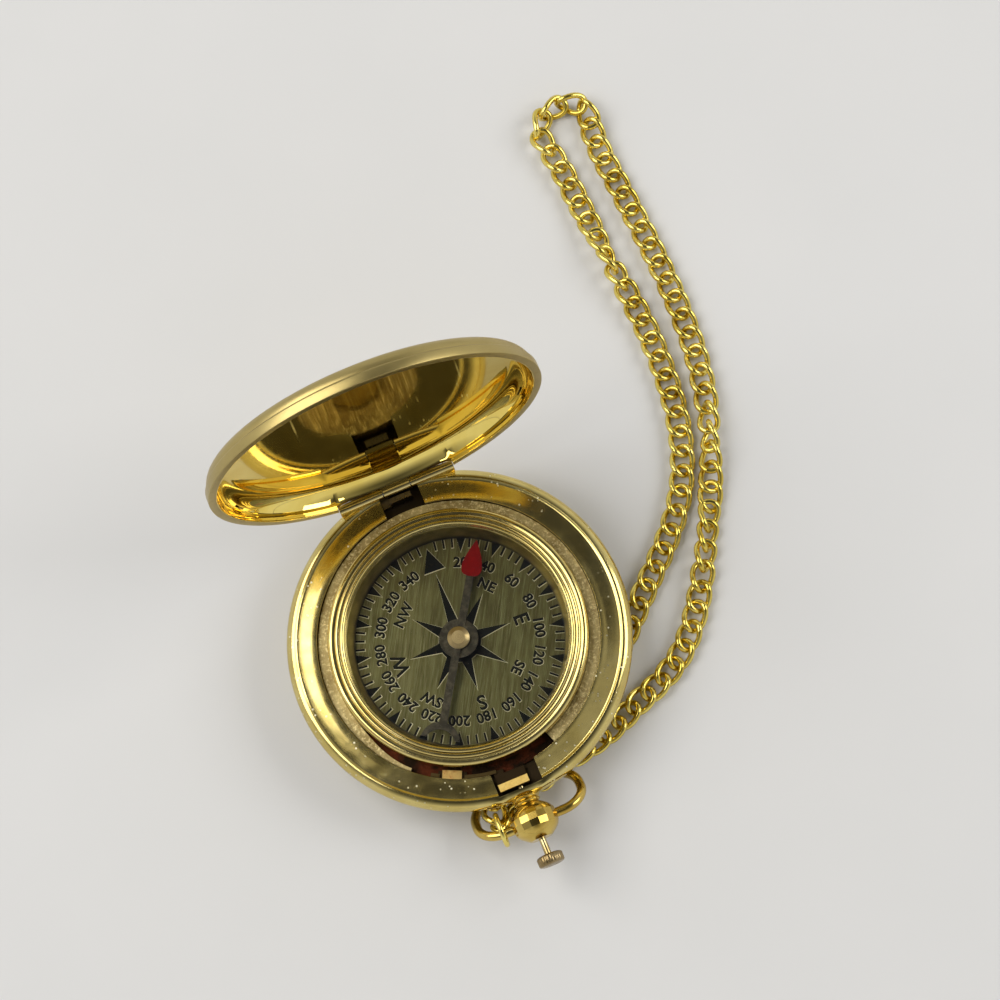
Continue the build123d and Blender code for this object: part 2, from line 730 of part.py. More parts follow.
# Chain route, from the jump ring under the case, out to the fold and back over the bow
chain_route = [
    (-4.4, -23.19, 5.13),
    (-4.4, -20.99, 3.75),
    (-3.5, -18.6, 2.4),
    (-1.4, -17.0, 1.5),
    (3.6, -16.4, 0.9),
    (7.6, -15.9, 0.9),
    (11.8, -14.0, 0.9),
    (15.6, -11.2, 0.9),
    (19.2, -8.0, 0.9),
    (22.6, -4.7, 0.9),
    (26.2, -1.2, 0.9),
    (30.2, 2.5, 0.9),
    (34.1, 7.1, 0.9),
    (36.7, 12.3, 0.9),
    (38.2, 17.8, 0.9),
    (38.9, 23.6, 0.9),
    (39.1, 29.6, 0.9),
    (38.7, 35.6, 0.9),
    (38.0, 41.4, 0.9),
    (37.7, 47.0, 0.9),
    (37.4, 51.6, 0.9),
    (36.6, 54.9, 0.9),
    (35.2, 57.66, 0.9),
    (35.2, 60.34, 0.9),
    (36.54, 62.66, 0.9),
    (38.86, 64.0, 0.9),
    (41.54, 64.0, 0.9),
    (43.86, 62.66, 0.9),
    (45.2, 60.34, 0.9),
    (45.2, 57.66, 0.9),
    (43.9, 54.9, 0.9),
    (43.3, 51.6, 0.9),
    (43.6, 46.8, 0.9),
    (44.0, 41.2, 0.9),
    (44.2, 35.4, 0.9),
    (44.15, 29.6, 0.9),
    (43.7, 24.0, 0.9),
    (42.6, 18.4, 0.9),
    (40.9, 13.0, 0.9),
    (38.6, 7.4, 0.9),
    (36.0, 2.2, 0.9),
    (33.3, -2.6, 0.9),
    (30.3, -7.4, 0.9),
    (26.8, -11.6, 0.9),
    (22.6, -14.3, 0.9),
    (18.2, -15.8, 0.9),
    (14.6, -17.4, 0.95),
    (11.4, -18.4, 1.6),
    (8.6, -19.07, 2.48),
    (6.0, -19.39, 3.28),
    (3.4, -20.4, 3.37),
    (0.8, -21.22, 3.17),
    (-1.7, -23.2, 3.04),
    (-4.4, -24.19, 4.24),
]
route = [Vector(*point) for point in chain_route]
runs = [end - start for start, end in zip(route, route[1:])]
bends = []
for before, after in zip(runs, runs[1:]):
    half_turn = radians(before.get_angle(after)) / 2
    bends.append(bend_share * min(before.length, after.length) / tan(half_turn))
with BuildLine() as chain_line:
    FilletPolyline(*route, radius=bends)
chain_path = chain_line.wire()
print("chain length", round(chain_path.length, 1), "smallest bend radius", round(min(bends), 2))


def curb_link():
    """One link: an oval of wire bent like a saddle, so that it hooks flat into its neighbours.

    The wire's line is (a cos t, b sin t, -c sin 2t), carried by a flat-sided section of the wire's girth.
    """
    section_radius = link_wire / 2 * (pi / link_sides) / sin(pi / link_sides)
    sections = []
    for corner in range(link_corners):
        t = 2 * pi * corner / link_corners
        middle = Vector(link_half_length * cos(t), link_half_width * sin(t), -link_rise * sin(2 * t))
        along = Vector(-link_half_length * sin(t), link_half_width * cos(t), -2 * link_rise * cos(2 * t))
        outward = along.cross(Vector(0, 0, 1)).normalized()
        upward = outward.cross(along.normalized())
        sections.append([
            middle
            + outward * (section_radius * cos(2 * pi * side / link_sides))
            + upward * (section_radius * sin(2 * pi * side / link_sides))
            for side in range(link_sides)
        ])
    facets = []
    for here, there in zip(sections, sections[1:] + sections[:1]):
        for side in range(link_sides):
            turn = (side + 1) % link_sides
            facets.append(Face(Wire.make_polygon([here[side], here[turn], there[turn]])))
            facets.append(Face(Wire.make_polygon([here[side], there[turn], there[side]])))
    return Solid(Shell(facets))


# Chain: like links along the route, lying flat but for the last few, which twist to hook on the ring
end_offset = link_half_length - (ring_wire + link_wire) / 2 - link_play
link_steps = round((chain_path.length - 2 * end_offset) / link_pitch)
link_places = []
for step in range(link_steps + 1):
    share = (end_offset + step * (chain_path.length - 2 * end_offset) / link_steps) / chain_path.length
    along = chain_path % share
    lying = Plane(origin=chain_path @ share, x_dir=along, z_dir=Vector(0, 0, 1) - along * along.Z)
    roll = twist * max(0, 1 - (link_steps - step) / twisted_links)
    link_places.append(Location(lying) * Location((0, 0, 0), (roll, 0, 0)))
with BuildPart() as chain_links:
    with Locations(*link_places):
        add(curb_link())
print("links", len(link_places))
save(chain_links.part, "chain_links")
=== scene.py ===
import bmesh
import bpy
import numpy as np
from mathutils import Matrix, Vector


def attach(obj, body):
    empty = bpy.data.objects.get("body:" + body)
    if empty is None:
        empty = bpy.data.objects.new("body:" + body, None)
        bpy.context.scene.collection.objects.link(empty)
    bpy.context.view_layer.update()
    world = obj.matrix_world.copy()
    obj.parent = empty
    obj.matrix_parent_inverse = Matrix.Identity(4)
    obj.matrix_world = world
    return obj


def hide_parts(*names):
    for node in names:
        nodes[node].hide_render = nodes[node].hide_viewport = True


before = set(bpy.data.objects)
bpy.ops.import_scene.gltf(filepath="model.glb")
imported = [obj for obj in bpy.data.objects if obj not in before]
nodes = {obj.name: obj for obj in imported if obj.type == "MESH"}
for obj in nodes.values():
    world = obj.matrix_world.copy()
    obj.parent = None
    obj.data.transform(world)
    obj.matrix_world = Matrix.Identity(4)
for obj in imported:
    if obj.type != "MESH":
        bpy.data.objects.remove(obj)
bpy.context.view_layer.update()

# Back cover
# A shallow dish spun from thin brass sheet, polished outside, with a small flat foot pressed in its middle.
# It snaps into the band from below, so a fine seam runs round the case under the belly.
MM = 0.001
SHEET = 0.6
SEAM_Z = 5.349
SEAM_R = 21.15
SNAP_R = 19.6
SNAP_INNER_R = 19.05
SNAP_RISE = 0.33
BACK_R = 38.0
BACK_CENTRE = 36.919
FOOT_R = 9.0
FOOT_INNER_R = 8.0


def eased(profile, reach, ends_free=False):
    """Profile with its hard corners eased.

    Where the outline turns by more than 15 degrees, the corner gives way to the quadratic curve
    (1-t)^2 start + 2t(1-t) corner + t^2 end. It starts and ends at a distance of reach from the corner,
    or of a third of the shorter side.
    """
    before = np.roll(profile, 1, axis=0) - profile
    after = np.roll(profile, -1, axis=0) - profile
    long_before = np.linalg.norm(before, axis=1, keepdims=True)
    long_after = np.linalg.norm(after, axis=1, keepdims=True)
    turn = np.sum(before * after, axis=1, keepdims=True) / (long_before * long_after)
    hard = turn > -np.cos(np.radians(15))
    share = np.minimum(reach, np.minimum(long_before, long_after) / 3) * hard
    if ends_free:
        share[[0, -1]] = 0
    t = np.linspace(0, 1, 4)[None, :, None]
    start = (profile + before * share / long_before)[:, None]
    end = (profile + after * share / long_after)[:, None]
    curve = ((1 - t) ** 2 * start + 2 * t * (1 - t) * profile[:, None] + t**2 * end).reshape(-1, 2)
    fresh = np.linalg.norm(curve - np.roll(curve, 1, axis=0), axis=1) > 1e-6
    return curve[fresh]


def arc(centre, radius, start, end, steps):
    """Points of a circle's arc between two angles in degrees: centre + radius (cos a, sin a)."""
    a = np.radians(np.linspace(start, end, steps))[:, None]
    return np.array(centre) + radius * np.hstack([np.cos(a), np.sin(a)])


def under(across, radius):
    """The angle in degrees at which the underside of a circle is a distance across from its middle."""
    return np.degrees(np.arcsin(across / radius)) - 90


def turned(profile, steps=216):
    """A profile (r, z) carried round the upright axis: (r cos u, r sin u, z)."""
    u = np.linspace(0, 2 * np.pi, steps, endpoint=False)
    r, z = profile[:, :1], profile[:, 1:]
    return np.stack(np.broadcast_arrays(r * np.cos(u), r * np.sin(u), z), axis=-1)


def skin(points, loop_rows):
    """Corners and faces of a grid of points, whose columns close into a ring.

    Each cell between two rows and two columns is a quad. A row whose points all meet is a pole, and its cells
    are triangles. The faces are turned over if the volume that they enclose comes out negative.
    """
    rows, columns = points.shape[:2]
    number = np.arange(rows * columns).reshape(rows, columns)
    pole = np.ptp(points, axis=1).max(axis=1) < 1e-9
    number[pole] = number[pole][:, :1]
    low = number if loop_rows else number[:-1]
    high = np.roll(number, -1, axis=0) if loop_rows else number[1:]
    cells = np.stack([low, np.roll(low, -1, axis=1), np.roll(high, -1, axis=1), high], axis=-1)
    row = np.repeat(np.arange(len(low)), columns)
    used, cells = np.unique(cells.reshape(-1, 4), return_inverse=True)
    cells = cells.reshape(-1, 4)
    corners = points.reshape(-1, 3)[used]
    a, b, c, d = (corners[cells[:, k]] for k in range(4))
    if np.sum(np.cross(a, b) * c) + np.sum(np.cross(a, c) * d) < 0:
        cells = cells[:, ::-1]
    first, last = cells[:, 0] == cells[:, 1], cells[:, 2] == cells[:, 3]
    whole = ~(first | last)
    faces = cells[whole].tolist() + cells[first][:, 1:].tolist() + cells[last & ~first][:, :3].tolist()
    return corners, faces, np.concatenate([row[whole], row[first], row[last & ~first]])


def add_piece(name, mesh, finishes, body, replaced=()):
    """Put a finished mesh in the scene on its body, in place of the plain solids that it stands for."""
    for finish in finishes:
        mesh.materials.append(finish)
    piece = bpy.data.objects.new(name, mesh)
    bpy.context.scene.collection.objects.link(piece)
    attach(piece, body)
    if replaced:
        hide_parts(*replaced)
    return piece


def smooth_mesh(name, corners, faces, crease=32.0):
    """A mesh in metres from corners in millimetres, smooth but for edges sharper than the crease angle."""
    mesh = bpy.data.meshes.new(name)
    mesh.from_pydata((np.asarray(corners) * MM).tolist(), [], faces)
    mesh.polygons.foreach_set("use_smooth", np.ones(len(mesh.polygons), dtype=bool))
    mesh.set_sharp_from_angle(angle=np.radians(crease))
    mesh.update()
    return mesh


def grid_mesh(name, points, loop_rows=True, crease=32.0, tones=None):
    """The mesh of a grid of points. tones gives each row of cells the number of its finish."""
    corners, faces, row = skin(points, loop_rows)
    mesh = smooth_mesh(name, corners, faces, crease)
    if tones is not None:
        mesh.polygons.foreach_set("material_index", np.asarray(tones, dtype=np.int32)[row])
    return mesh


class Nodes:
    """A material's node tree, with short ways to add a node and to join sockets."""

    def __init__(self, name):
        self.material = bpy.data.materials.new(name)
        self.material.use_nodes = True
        self.tree = self.material.node_tree
        self.shader = self.tree.nodes["Principled BSDF"]
        self.place = self.tree.nodes.new("ShaderNodeTexCoord").outputs["Object"]

    def add(self, kind, inputs=(), **settings):
        """Add a node, set its own settings, and fill its inputs by number or name with values or sockets."""
        node = self.tree.nodes.new("ShaderNode" + kind)
        for key, value in settings.items():
            setattr(node, key, value)
        for key, value in dict(inputs).items():
            self.set(node.inputs[key], value)
        return node

    def set(self, socket, value):
        """Join a socket to another, or give it a plain value."""
        if isinstance(value, bpy.types.NodeSocket):
            self.tree.links.new(value, socket)
        else:
            socket.default_value = value

    def stretch(self, scale, turn=(0, 0, 0)):
        """The place on the piece, turned and then stretched by a scale for each axis."""
        moved = self.add("Mapping", {"Vector": self.place, "Rotation": [np.radians(a) for a in turn]})
        return self.add("VectorMath", {0: moved.outputs[0], 1: scale}, operation="MULTIPLY").outputs[0]

    def noise(self, scale, detail=3.0, rough=0.5, at=None, warp=0.0):
        """Cloudy noise from 0 to 1, at a scale in cycles per metre."""
        inputs = {"Vector": at or self.place, "Scale": scale, "Detail": detail, "Roughness": rough}
        return self.add("TexNoise", {**inputs, "Distortion": warp}).outputs["Fac"]

    def height(self):
        """The height of the place on the piece, in metres."""
        return self.add("SeparateXYZ", {0: self.place}).outputs["Z"]

    def from_axis(self):
        """The distance of the place on the piece from the upright axis, in metres."""
        flat = self.add("VectorMath", {0: self.place, 1: (1, 1, 0)}, operation="MULTIPLY").outputs[0]
        return self.add("VectorMath", {0: flat}, operation="LENGTH").outputs["Value"]

    def span(self, value, low, high, to_low=0.0, to_high=1.0):
        """A value stretched from one range to another, and held inside it."""
        inputs = {0: value, 1: low, 2: high, 3: to_low, 4: to_high}
        return self.add("MapRange", inputs, clamp=True).outputs[0]

    def sum(self, kind, a, b=0.0):
        """One step of arithmetic on two values."""
        return self.add("Math", {0: a, 1: b}, operation=kind).outputs[0]

    def mix(self, share, a, b):
        """A colour between two colours."""
        node = self.add("Mix", data_type="RGBA")
        for socket, value in zip((node.inputs[0], node.inputs[6], node.inputs[7]), (share, a, b)):
            self.set(socket, value)
        return node.outputs[2]

    def relief(self, height, depth, strength=1.0):
        """A bumpy normal from a height of 0 to 1, with its real depth in metres."""
        inputs = {"Height": height, "Distance": depth, "Strength": strength}
        self.set(self.shader.inputs["Normal"], self.add("Bump", inputs).outputs[0])

    def finish(self, **values):
        """Give the shader's inputs their values or sockets, by name with underscores for spaces."""
        for key, value in values.items():
            self.set(self.shader.inputs[key.replace("_", " ")], value)
        return self.material


def brass(name, bright, deep, gloss, dull, scratch=0.5, specks=0.0, turn=(0, 0, 0), grime_and_shade=None):
    """Polished or brushed brass.

    Colour drifts between two tones on slow noise. Roughness rises from gloss to dull in smudges, and along
    fine drawn scratches. Where specks is above 0, scattered dots of tarnish are paler and dull. The last
    argument is two heights and a distance from the upright axis in metres: between and inside them the brass
    is painted near black, as painted shade in the recesses there.
    """
    n = Nodes(name)
    drift = n.span(n.noise(170, 3, 0.55, warp=0.6), 0.35, 0.68)
    smudge = n.span(n.noise(520, 4, 0.6), 0.42, 0.72)
    fine = n.noise(1.0, 2, 0.6, at=n.stretch((900, 14000, 900), turn))
    cross = n.noise(1.0, 2, 0.6, at=n.stretch((11000, 700, 700), (turn[0] + 20, turn[1], turn[2] + 55)))
    line = n.sum("MAXIMUM", n.span(fine, 0.62, 0.78), n.span(cross, 0.66, 0.8))
    colour = n.mix(drift, (*deep, 1), (*bright, 1))
    colour = n.mix(n.sum("MULTIPLY", line, 0.35 * scratch), colour, tuple(0.72 * c for c in deep) + (1,))
    rough = n.sum("ADD", n.span(smudge, 0, 1, gloss, dull), n.sum("MULTIPLY", line, 0.22 * scratch))
    height = n.sum("MULTIPLY", n.sum("ADD", fine, cross), 0.5)
    if specks:
        dots = n.add("TexVoronoi", {"Vector": n.place, "Scale": 1500.0, "Randomness": 1.0})
        dot = n.span(dots.outputs["Distance"], 0.14, 0.22, 1.0, 0.0)
        kept = n.add("SeparateColor", {0: dots.outputs["Color"]}).outputs[0]
        zone = n.span(n.noise(260, 2, 0.5), 0.42, 0.6)
        dot = n.sum("MULTIPLY", n.sum("MULTIPLY", dot, n.sum("GREATER_THAN", kept, 1 - specks)), zone)
        colour = n.mix(dot, colour, (0.86, 0.82, 0.62, 1))
        rough = n.sum("ADD", rough, n.sum("MULTIPLY", dot, 0.4))
        height = n.sum("ADD", height, dot)
    # Painted shade: between the two heights and inside the distance from the axis, the brass is darkened near
    # black.
    if grime_and_shade:
        bottom, top, wall = grime_and_shade
        under_top = n.span(n.height(), top - 0.0002, top, 1.0, 0.0)
        between = n.sum("MULTIPLY", under_top, n.span(n.height(), bottom - 0.0001, bottom))
        recess_shade = n.sum("MULTIPLY", between, n.span(n.from_axis(), wall - 0.0003, wall, 1.0, 0.0))
        colour = n.mix(recess_shade, colour, (0.03, 0.021, 0.011, 1))
        rough = n.sum("ADD", rough, n.sum("MULTIPLY", recess_shade, 0.3))
    n.relief(height, 0.000006 * scratch, 0.6)
    return n.finish(Metallic=1.0, Base_Color=colour, Roughness=rough)


# Painted shade: the case brass is near black in the recesses under the flange: the foot of its inner wall,
# the hinge slot's floor and the channel.
case_brass = brass(
    "case_brass", (0.74, 0.61, 0.24), (0.60, 0.47, 0.15), gloss=0.12, dull=0.19, scratch=0.3, specks=0.55,
    grime_and_shade=(0.0057, 0.0078, 0.0216),
)
inner_r = BACK_R - SHEET
outer = arc((0, BACK_CENTRE), BACK_R, under(FOOT_R, BACK_R), under(SEAM_R, BACK_R), 36)
inner = arc((0, BACK_CENTRE), inner_r, under(SNAP_INNER_R, inner_r), under(FOOT_INNER_R, inner_r), 16)
lip = [(SNAP_R, SEAM_Z), (SNAP_R, SEAM_Z + SNAP_RISE), (SNAP_INNER_R, SEAM_Z + SNAP_RISE)]
dish = np.vstack([[(0, 0), (FOOT_R - SHEET, 0)], outer, lip, inner, [(0, SHEET)]])
add_piece(
    "back_cover_dish",
    grid_mesh("back_cover_dish", turned(eased(dish, 0.15, True)), loop_rows=False),
    [case_brass], "case", ["back_cover"],
)

# Case band
# The body of the case: a bellied brass ring turned from the solid, with a channel inside for the two springs.
# Its polished top flange slopes a little outward, with a notch for the catch and a slot for the hinge.
BELLY_R = 22.5
BELLY_Z = 6.699
BELLY_TOP_ARC = 1.4
ROOF_Z = 7.449
FLANGE_Z = 8.099
FLANGE_R = 18.4
NOTCH_HALF = 3.0
NOTCH_Y = 21.25
SLOT_HALF = 2.7
CHANNEL_R = 21.5
CHANNEL_Z = 5.949
BORE_R = 16.8
SIDE_STEPS = 96
top_arc_r = BELLY_R - BELLY_TOP_ARC
section = np.vstack([
    arc((SEAM_R, BELLY_Z), BELLY_R - SEAM_R, -90, 0, 14)[:-1],
    arc((top_arc_r, BELLY_Z), BELLY_TOP_ARC, 0, 84, 16),
    [(21.13, FLANGE_Z - 0.08), (20.9, FLANGE_Z - 0.17), (20.2, FLANGE_Z - 0.13), (19.4, FLANGE_Z - 0.075)],
    [(FLANGE_R, FLANGE_Z), (FLANGE_R, ROOF_Z), (CHANNEL_R, ROOF_Z), (CHANNEL_R, CHANNEL_Z)],
    [(BORE_R, CHANNEL_Z), (BORE_R, SEAM_Z)],
])
section = eased(section, 0.07)
slot_edge = top_arc_r + np.sqrt(BELLY_TOP_ARC**2 - (ROOF_Z - BELLY_Z) ** 2)
# The columns across a cut, as shares of its half width. The first and last stand outside it, on its edges
over_cut = np.array([3, 3, 2, 1, 0, -1, -2, -3, -3]) / 3
in_cut = np.array([0, 1, 1, 1, 1, 1, 1, 1, 0], dtype=bool)
rear_x, front_x = SLOT_HALF * over_cut, -NOTCH_HALF * over_cut
r, z = section[:, :1], section[:, 1:]
above = z > ROOF_Z - 1e-4
# In the slot the top is cut down to the channel's roof; in the notch the flange ends at the notch's far wall
slot_r = np.where(in_cut & above, np.clip(r, CHANNEL_R, slot_edge), r)
slot_z = np.where(in_cut & above, ROOF_Z, z)
notch_r = np.where(in_cut & above, np.maximum(r, np.hypot(NOTCH_Y, front_x)), r)
plain = np.ones((len(r), SIDE_STEPS))
u = np.hstack([
    np.radians(np.linspace(-78, 80, SIDE_STEPS)) * plain,
    np.pi / 2 - np.arcsin(rear_x / slot_r),
    np.radians(np.linspace(100, 258, SIDE_STEPS)) * plain,
    1.5 * np.pi + np.arcsin(front_x / notch_r),
])
band_r = np.hstack([r * plain, slot_r, r * plain, notch_r])
band_z = np.hstack([z * plain, slot_z, z * plain, np.broadcast_to(z, notch_r.shape)])
band = np.stack([band_r * np.cos(u), band_r * np.sin(u), band_z], axis=-1)
add_piece(
    "case_band_ring", grid_mesh("case_band_ring", band),
    [case_brass], "case", ["case_band"],
)

# Hinge knuckles and pin
# Two brass tubes are soldered on the band, and a steel wire runs through them and the lid's own tube.
# They are filed and polished with the case, with a few fine scratches along them.
ALONG_X = (0, 0, 90)
knuckle_brass = brass(
    "knuckle_brass", (0.78, 0.64, 0.28), (0.62, 0.48, 0.17), gloss=0.12, dull=0.20, scratch=0.2, turn=ALONG_X,
)
hinge_steel = brass(
    "hinge_steel", (0.46, 0.44, 0.40), (0.26, 0.24, 0.21), gloss=0.22, dull=0.42, scratch=0.8, turn=ALONG_X,
)


def dress(names, finish):
    """Give plain solids that keep their own shape a better finish."""
    for name in names:
        mesh = nodes[name].data
        mesh.materials.clear()
        mesh.materials.append(finish)


HINGE_Y = 21.4
HINGE_Z = 8.549
TUBE_END = np.array([(0.0, 0.45), (0.06, 0.56), (0.2, 0.7)])
TUBE_BELLY_R = 0.73


def tube(start, end):
    """A rolled tube along the hinge, (x, r cos u, r sin u) about its line, with soft ends and a belly."""
    belly = [((start + end) / 2, TUBE_BELLY_R)]
    profile = np.vstack([TUBE_END + (start, 0), belly, TUBE_END[::-1] * (-1, 1) + (end, 0)])
    u = np.linspace(0, 2 * np.pi, 36, endpoint=False)
    x, r = profile[:, :1], profile[:, 1:]
    return np.stack(np.broadcast_arrays(x, HINGE_Y + r * np.cos(u), HINGE_Z + r * np.sin(u)), axis=-1)


dress(["case_knuckles", "lid_knuckle"], knuckle_brass)
dress(["hinge_pin"], hinge_steel)
for name, start, end, body in (
    ("case_tube_left", -8.02, -1.98, "case"),
    ("case_tube_right", 1.98, 8.02, "case"),
    ("lid_tube", -1.87, 1.87, "lid"),
):
    add_piece(name, grid_mesh(name, tube(start, end)), [knuckle_brass], body)

# Lid
# A domed cover spun from thin brass sheet, with a rim band outside and a shallow catch lip inside.
# It is polished like a mirror inside, where it is warm and amber, and only brushed and duller outside.
LID_SEAT = 8.199
LID_R = 22.2
LID_WALL_R = 21.85
LID_INNER_R = 21.25
LID_LIP_R = 21.06
LIP_Z = 0.45
LIP_STEP = 0.05
RIM_TOP_Z = 1.2
RIM_SLOPE_Z = 1.375
LID_WALL_Z = 2.707
LID_DOME_R = 90.0
LID_CORNER = 1.5
LID_FLOOR_R = 200.0
LID_FLOOR_Z = 4.2
LID_FLOOR_CORNER = 2.8
LID_EASE = 0.12
HINGE_CUT_HALF = 8.06
HINGE_CUT_R = 0.75
LID_STEPS = 170
LID_OPEN = -94.0
dome_centre = LID_WALL_Z - np.sqrt(LID_DOME_R**2 - LID_WALL_R**2)


def dome(radius, middle, wall, corner, steps):
    """Half of a dome's outline: an arc about the axis at a middle height, then a corner arc into the wall."""
    reach = radius - corner
    lean = np.degrees(np.arcsin((wall - corner) / reach))
    bend = (wall - corner, middle + reach * np.cos(np.radians(lean)))
    crown = arc((0, middle), radius, 90, 90 - lean, steps)
    return np.vstack([crown, arc(bend, corner, 90 - lean, 0, 12)[1:]])


shell_outer = dome(LID_DOME_R, dome_centre, LID_WALL_R, LID_CORNER, 22)
shell_inner = dome(LID_FLOOR_R, LID_FLOOR_Z - LID_FLOOR_R, LID_INNER_R, LID_FLOOR_CORNER, 22)[::-1]
rim = np.array([
    (LID_WALL_R, RIM_SLOPE_Z), (LID_R, RIM_TOP_Z), (LID_R, 0), (LID_LIP_R, 0), (LID_LIP_R, LIP_Z),
    (LID_INNER_R - LIP_STEP, LIP_Z), (LID_INNER_R, LIP_Z), (LID_INNER_R, LIP_Z + LIP_STEP),
])
shell_outer[0, 0] = shell_inner[-1, 0] = 0
shell = eased(np.vstack([shell_outer, rim, shell_inner]), LID_EASE, True)
# The polished inside starts where the foot of the rim turns up at the lip
at_lip = (shell[:, 0] < LID_LIP_R + LID_EASE + 0.01) & (shell[:, 1] < 0.01)
inside = np.arange(len(shell)) >= np.argmax(at_lip)
r, z = shell[:, :1], shell[:, 1:]
edge_x = np.array([HINGE_CUT_HALF, HINGE_CUT_HALF])
notch_x = np.hstack([edge_x, np.linspace(7.4, -7.4, 15), -edge_x])
in_notch = np.array([0, *[1] * 17, 0], dtype=bool)
# The notch follows the knuckles: it is only as deep as the wall there comes within reach of them
reach = np.clip(HINGE_Y - np.sqrt(LID_R**2 - notch_x**2), 0, HINGE_CUT_R)
notch_top = HINGE_Z - LID_SEAT + np.sqrt(HINGE_CUT_R**2 - reach**2)
low = in_notch & (z < notch_top)
notch_r = np.where(low, np.maximum(r, LID_INNER_R), r)
notch_z = np.where(low, notch_top, z)
notch_u = np.pi / 2 - np.arcsin(notch_x / np.maximum(notch_r, LID_LIP_R))
plain = np.ones((len(r), LID_STEPS))
u = np.hstack([notch_u, np.radians(np.linspace(115, 425, LID_STEPS)) * plain])
lid_r = np.hstack([notch_r, r * plain])
lid_z = np.hstack([notch_z, z * plain]) + LID_SEAT
tilt = np.radians(LID_OPEN)
across, rise = lid_r * np.sin(u) - HINGE_Y, lid_z - HINGE_Z
opened = np.stack([
    lid_r * np.cos(u),
    HINGE_Y + across * np.cos(tilt) - rise * np.sin(tilt),
    HINGE_Z + across * np.sin(tilt) + rise * np.cos(tilt),
], axis=-1)
lid_outside = brass(
    "lid_outside", (0.47, 0.37, 0.145), (0.435, 0.34, 0.128), gloss=0.33, dull=0.38, scratch=0.9,
)
lid_inside = brass("lid_inside", (0.94, 0.75, 0.22), (0.86, 0.65, 0.15), gloss=0.03, dull=0.06, scratch=0.1)
add_piece(
    "lid_shell",
    grid_mesh("lid_shell", opened, loop_rows=False, tones=inside[:-1]),
    [lid_outside, lid_inside], "lid", ["lid"],
)

# Capsule cup, pivot and dial
# The works sit in a turned cup whose granular, tarnished flange shows as a matt ring round the bezel.
# The dial is a brushed plate with an antique finish, and the pivot a pointed pin riveted in the floor.
DIAL_Z = 5.099
GLASS_Z = 8.399
PIVOT_HOLE_R = 0.35
CUP_R = 16.55
CUP_BORE_R = 16.05
CUP_FLANGE_R = 18.3
CUP_BASE_Z = 3.999
CUP_FLOOR_Z = 4.699
CUP_FLANGE_Z = 6.349
LAND_R = 16.95
LAND_SWING = 0.95
LAND_SWING_FROM = 196
LAND_END = 228


def matt_brass(name):
    """Tarnished brass with coarse grains of pale and dark metal, and red-brown grime low in the groove."""
    n = Nodes(name)
    grain = n.noise(2600, 3, 0.75)
    cloud = n.span(n.noise(240, 3, 0.5), 0.35, 0.65)
    colour = n.mix(cloud, (0.28, 0.21, 0.085, 1), (0.50, 0.40, 0.18, 1))
    colour = n.mix(n.span(grain, 0.5, 0.66), colour, (0.78, 0.66, 0.34, 1))
    ragged = n.sum("ADD", n.height(), n.span(grain, 0, 1, -0.0002, 0.0002))
    grime_and_shade = n.span(ragged, 0.0065, 0.0071, 1.0, 0.0)
    red = n.span(n.noise(430, 2), 0.46, 0.6)
    colour = n.mix(grime_and_shade, colour, n.mix(red, (0.016, 0.010, 0.006, 1), (0.075, 0.020, 0.009, 1)))
    n.relief(grain, 0.00010, 0.9)
    return n.finish(Metallic=1.0, Base_Color=colour, Roughness=n.span(grain, 0.3, 0.7, 0.30, 0.50))


def antique_plate(name):
    """Antique dial plate: olive brass with straight, fine brush lines, darker in patches and at its edge."""
    n = Nodes(name)
    streak = n.noise(1.0, 4, 0.65, at=n.stretch((9000, 260, 260), (0, 0, 30)))
    broad = n.noise(1.0, 3, 0.6, at=n.stretch((1700, 120, 120), (0, 0, 27)))
    cloud = n.span(n.noise(230, 3, 0.55), 0.36, 0.66)
    colour = n.mix(cloud, (0.105, 0.092, 0.030, 1), (0.17, 0.152, 0.055, 1))
    colour = n.mix(n.span(broad, 0.45, 0.75), colour, (0.25, 0.225, 0.09, 1))
    colour = n.mix(n.span(streak, 0.5, 0.8), colour, (0.40, 0.365, 0.17, 1))
    colour = n.mix(n.span(n.from_axis(), 0.0118, 0.0142, 0, 0.55), colour, (0.12, 0.095, 0.035, 1))
    n.relief(streak, 0.00001, 0.7)
    return n.finish(Metallic=0.85, Base_Color=colour, Roughness=n.span(streak, 0.3, 0.8, 0.30, 0.50))


# The cup's flange carries a raised land all round but for the gap that leaves room for the catch spring
land_angle = np.concatenate([
    np.linspace(-70, LAND_END, 180), [LAND_END + 0.01], np.linspace(LAND_END + 1.5, 288.5, 40), [289.99],
])
in_land = land_angle <= LAND_END
# The land's inner edge swings out towards the gap on a smooth step, 3s^2 - 2s^3
s = np.clip((land_angle - LAND_SWING_FROM) / (LAND_END - LAND_SWING_FROM), 0, 1)
land_r = np.where(in_land, LAND_R + LAND_SWING * s * s * (3 - 2 * s), CUP_FLANGE_R - 0.05)
land_z = np.where(in_land, ROOF_Z, CUP_FLANGE_Z + 0.011)
cup_section = (
    (PIVOT_HOLE_R, CUP_BASE_Z), (CUP_R, CUP_BASE_Z), (CUP_R, CHANNEL_Z), (CUP_FLANGE_R, CHANNEL_Z),
    (CUP_FLANGE_R, land_z), (land_r, land_z), (land_r, CUP_FLANGE_Z), (CUP_R, CUP_FLANGE_Z),
    (CUP_R, GLASS_Z), (CUP_BORE_R, GLASS_Z), (CUP_BORE_R, CUP_FLOOR_Z), (PIVOT_HOLE_R, CUP_FLOOR_Z),
)
cup_r, cup_z = np.stack([np.broadcast_arrays(*point, land_r)[:2] for point in cup_section], axis=1)
u = np.radians(land_angle)
cup = np.stack([cup_r * np.cos(u), cup_r * np.sin(u), cup_z], axis=-1)
add_piece(
    "capsule_cup_turned", grid_mesh("capsule_cup_turned", cup),
    [matt_brass("cup_brass")], "case", ["capsule_cup"],
)
dress(["dial_plate"], antique_plate("dial_plate_finish"))
dress(["pivot_pin"], hinge_steel)

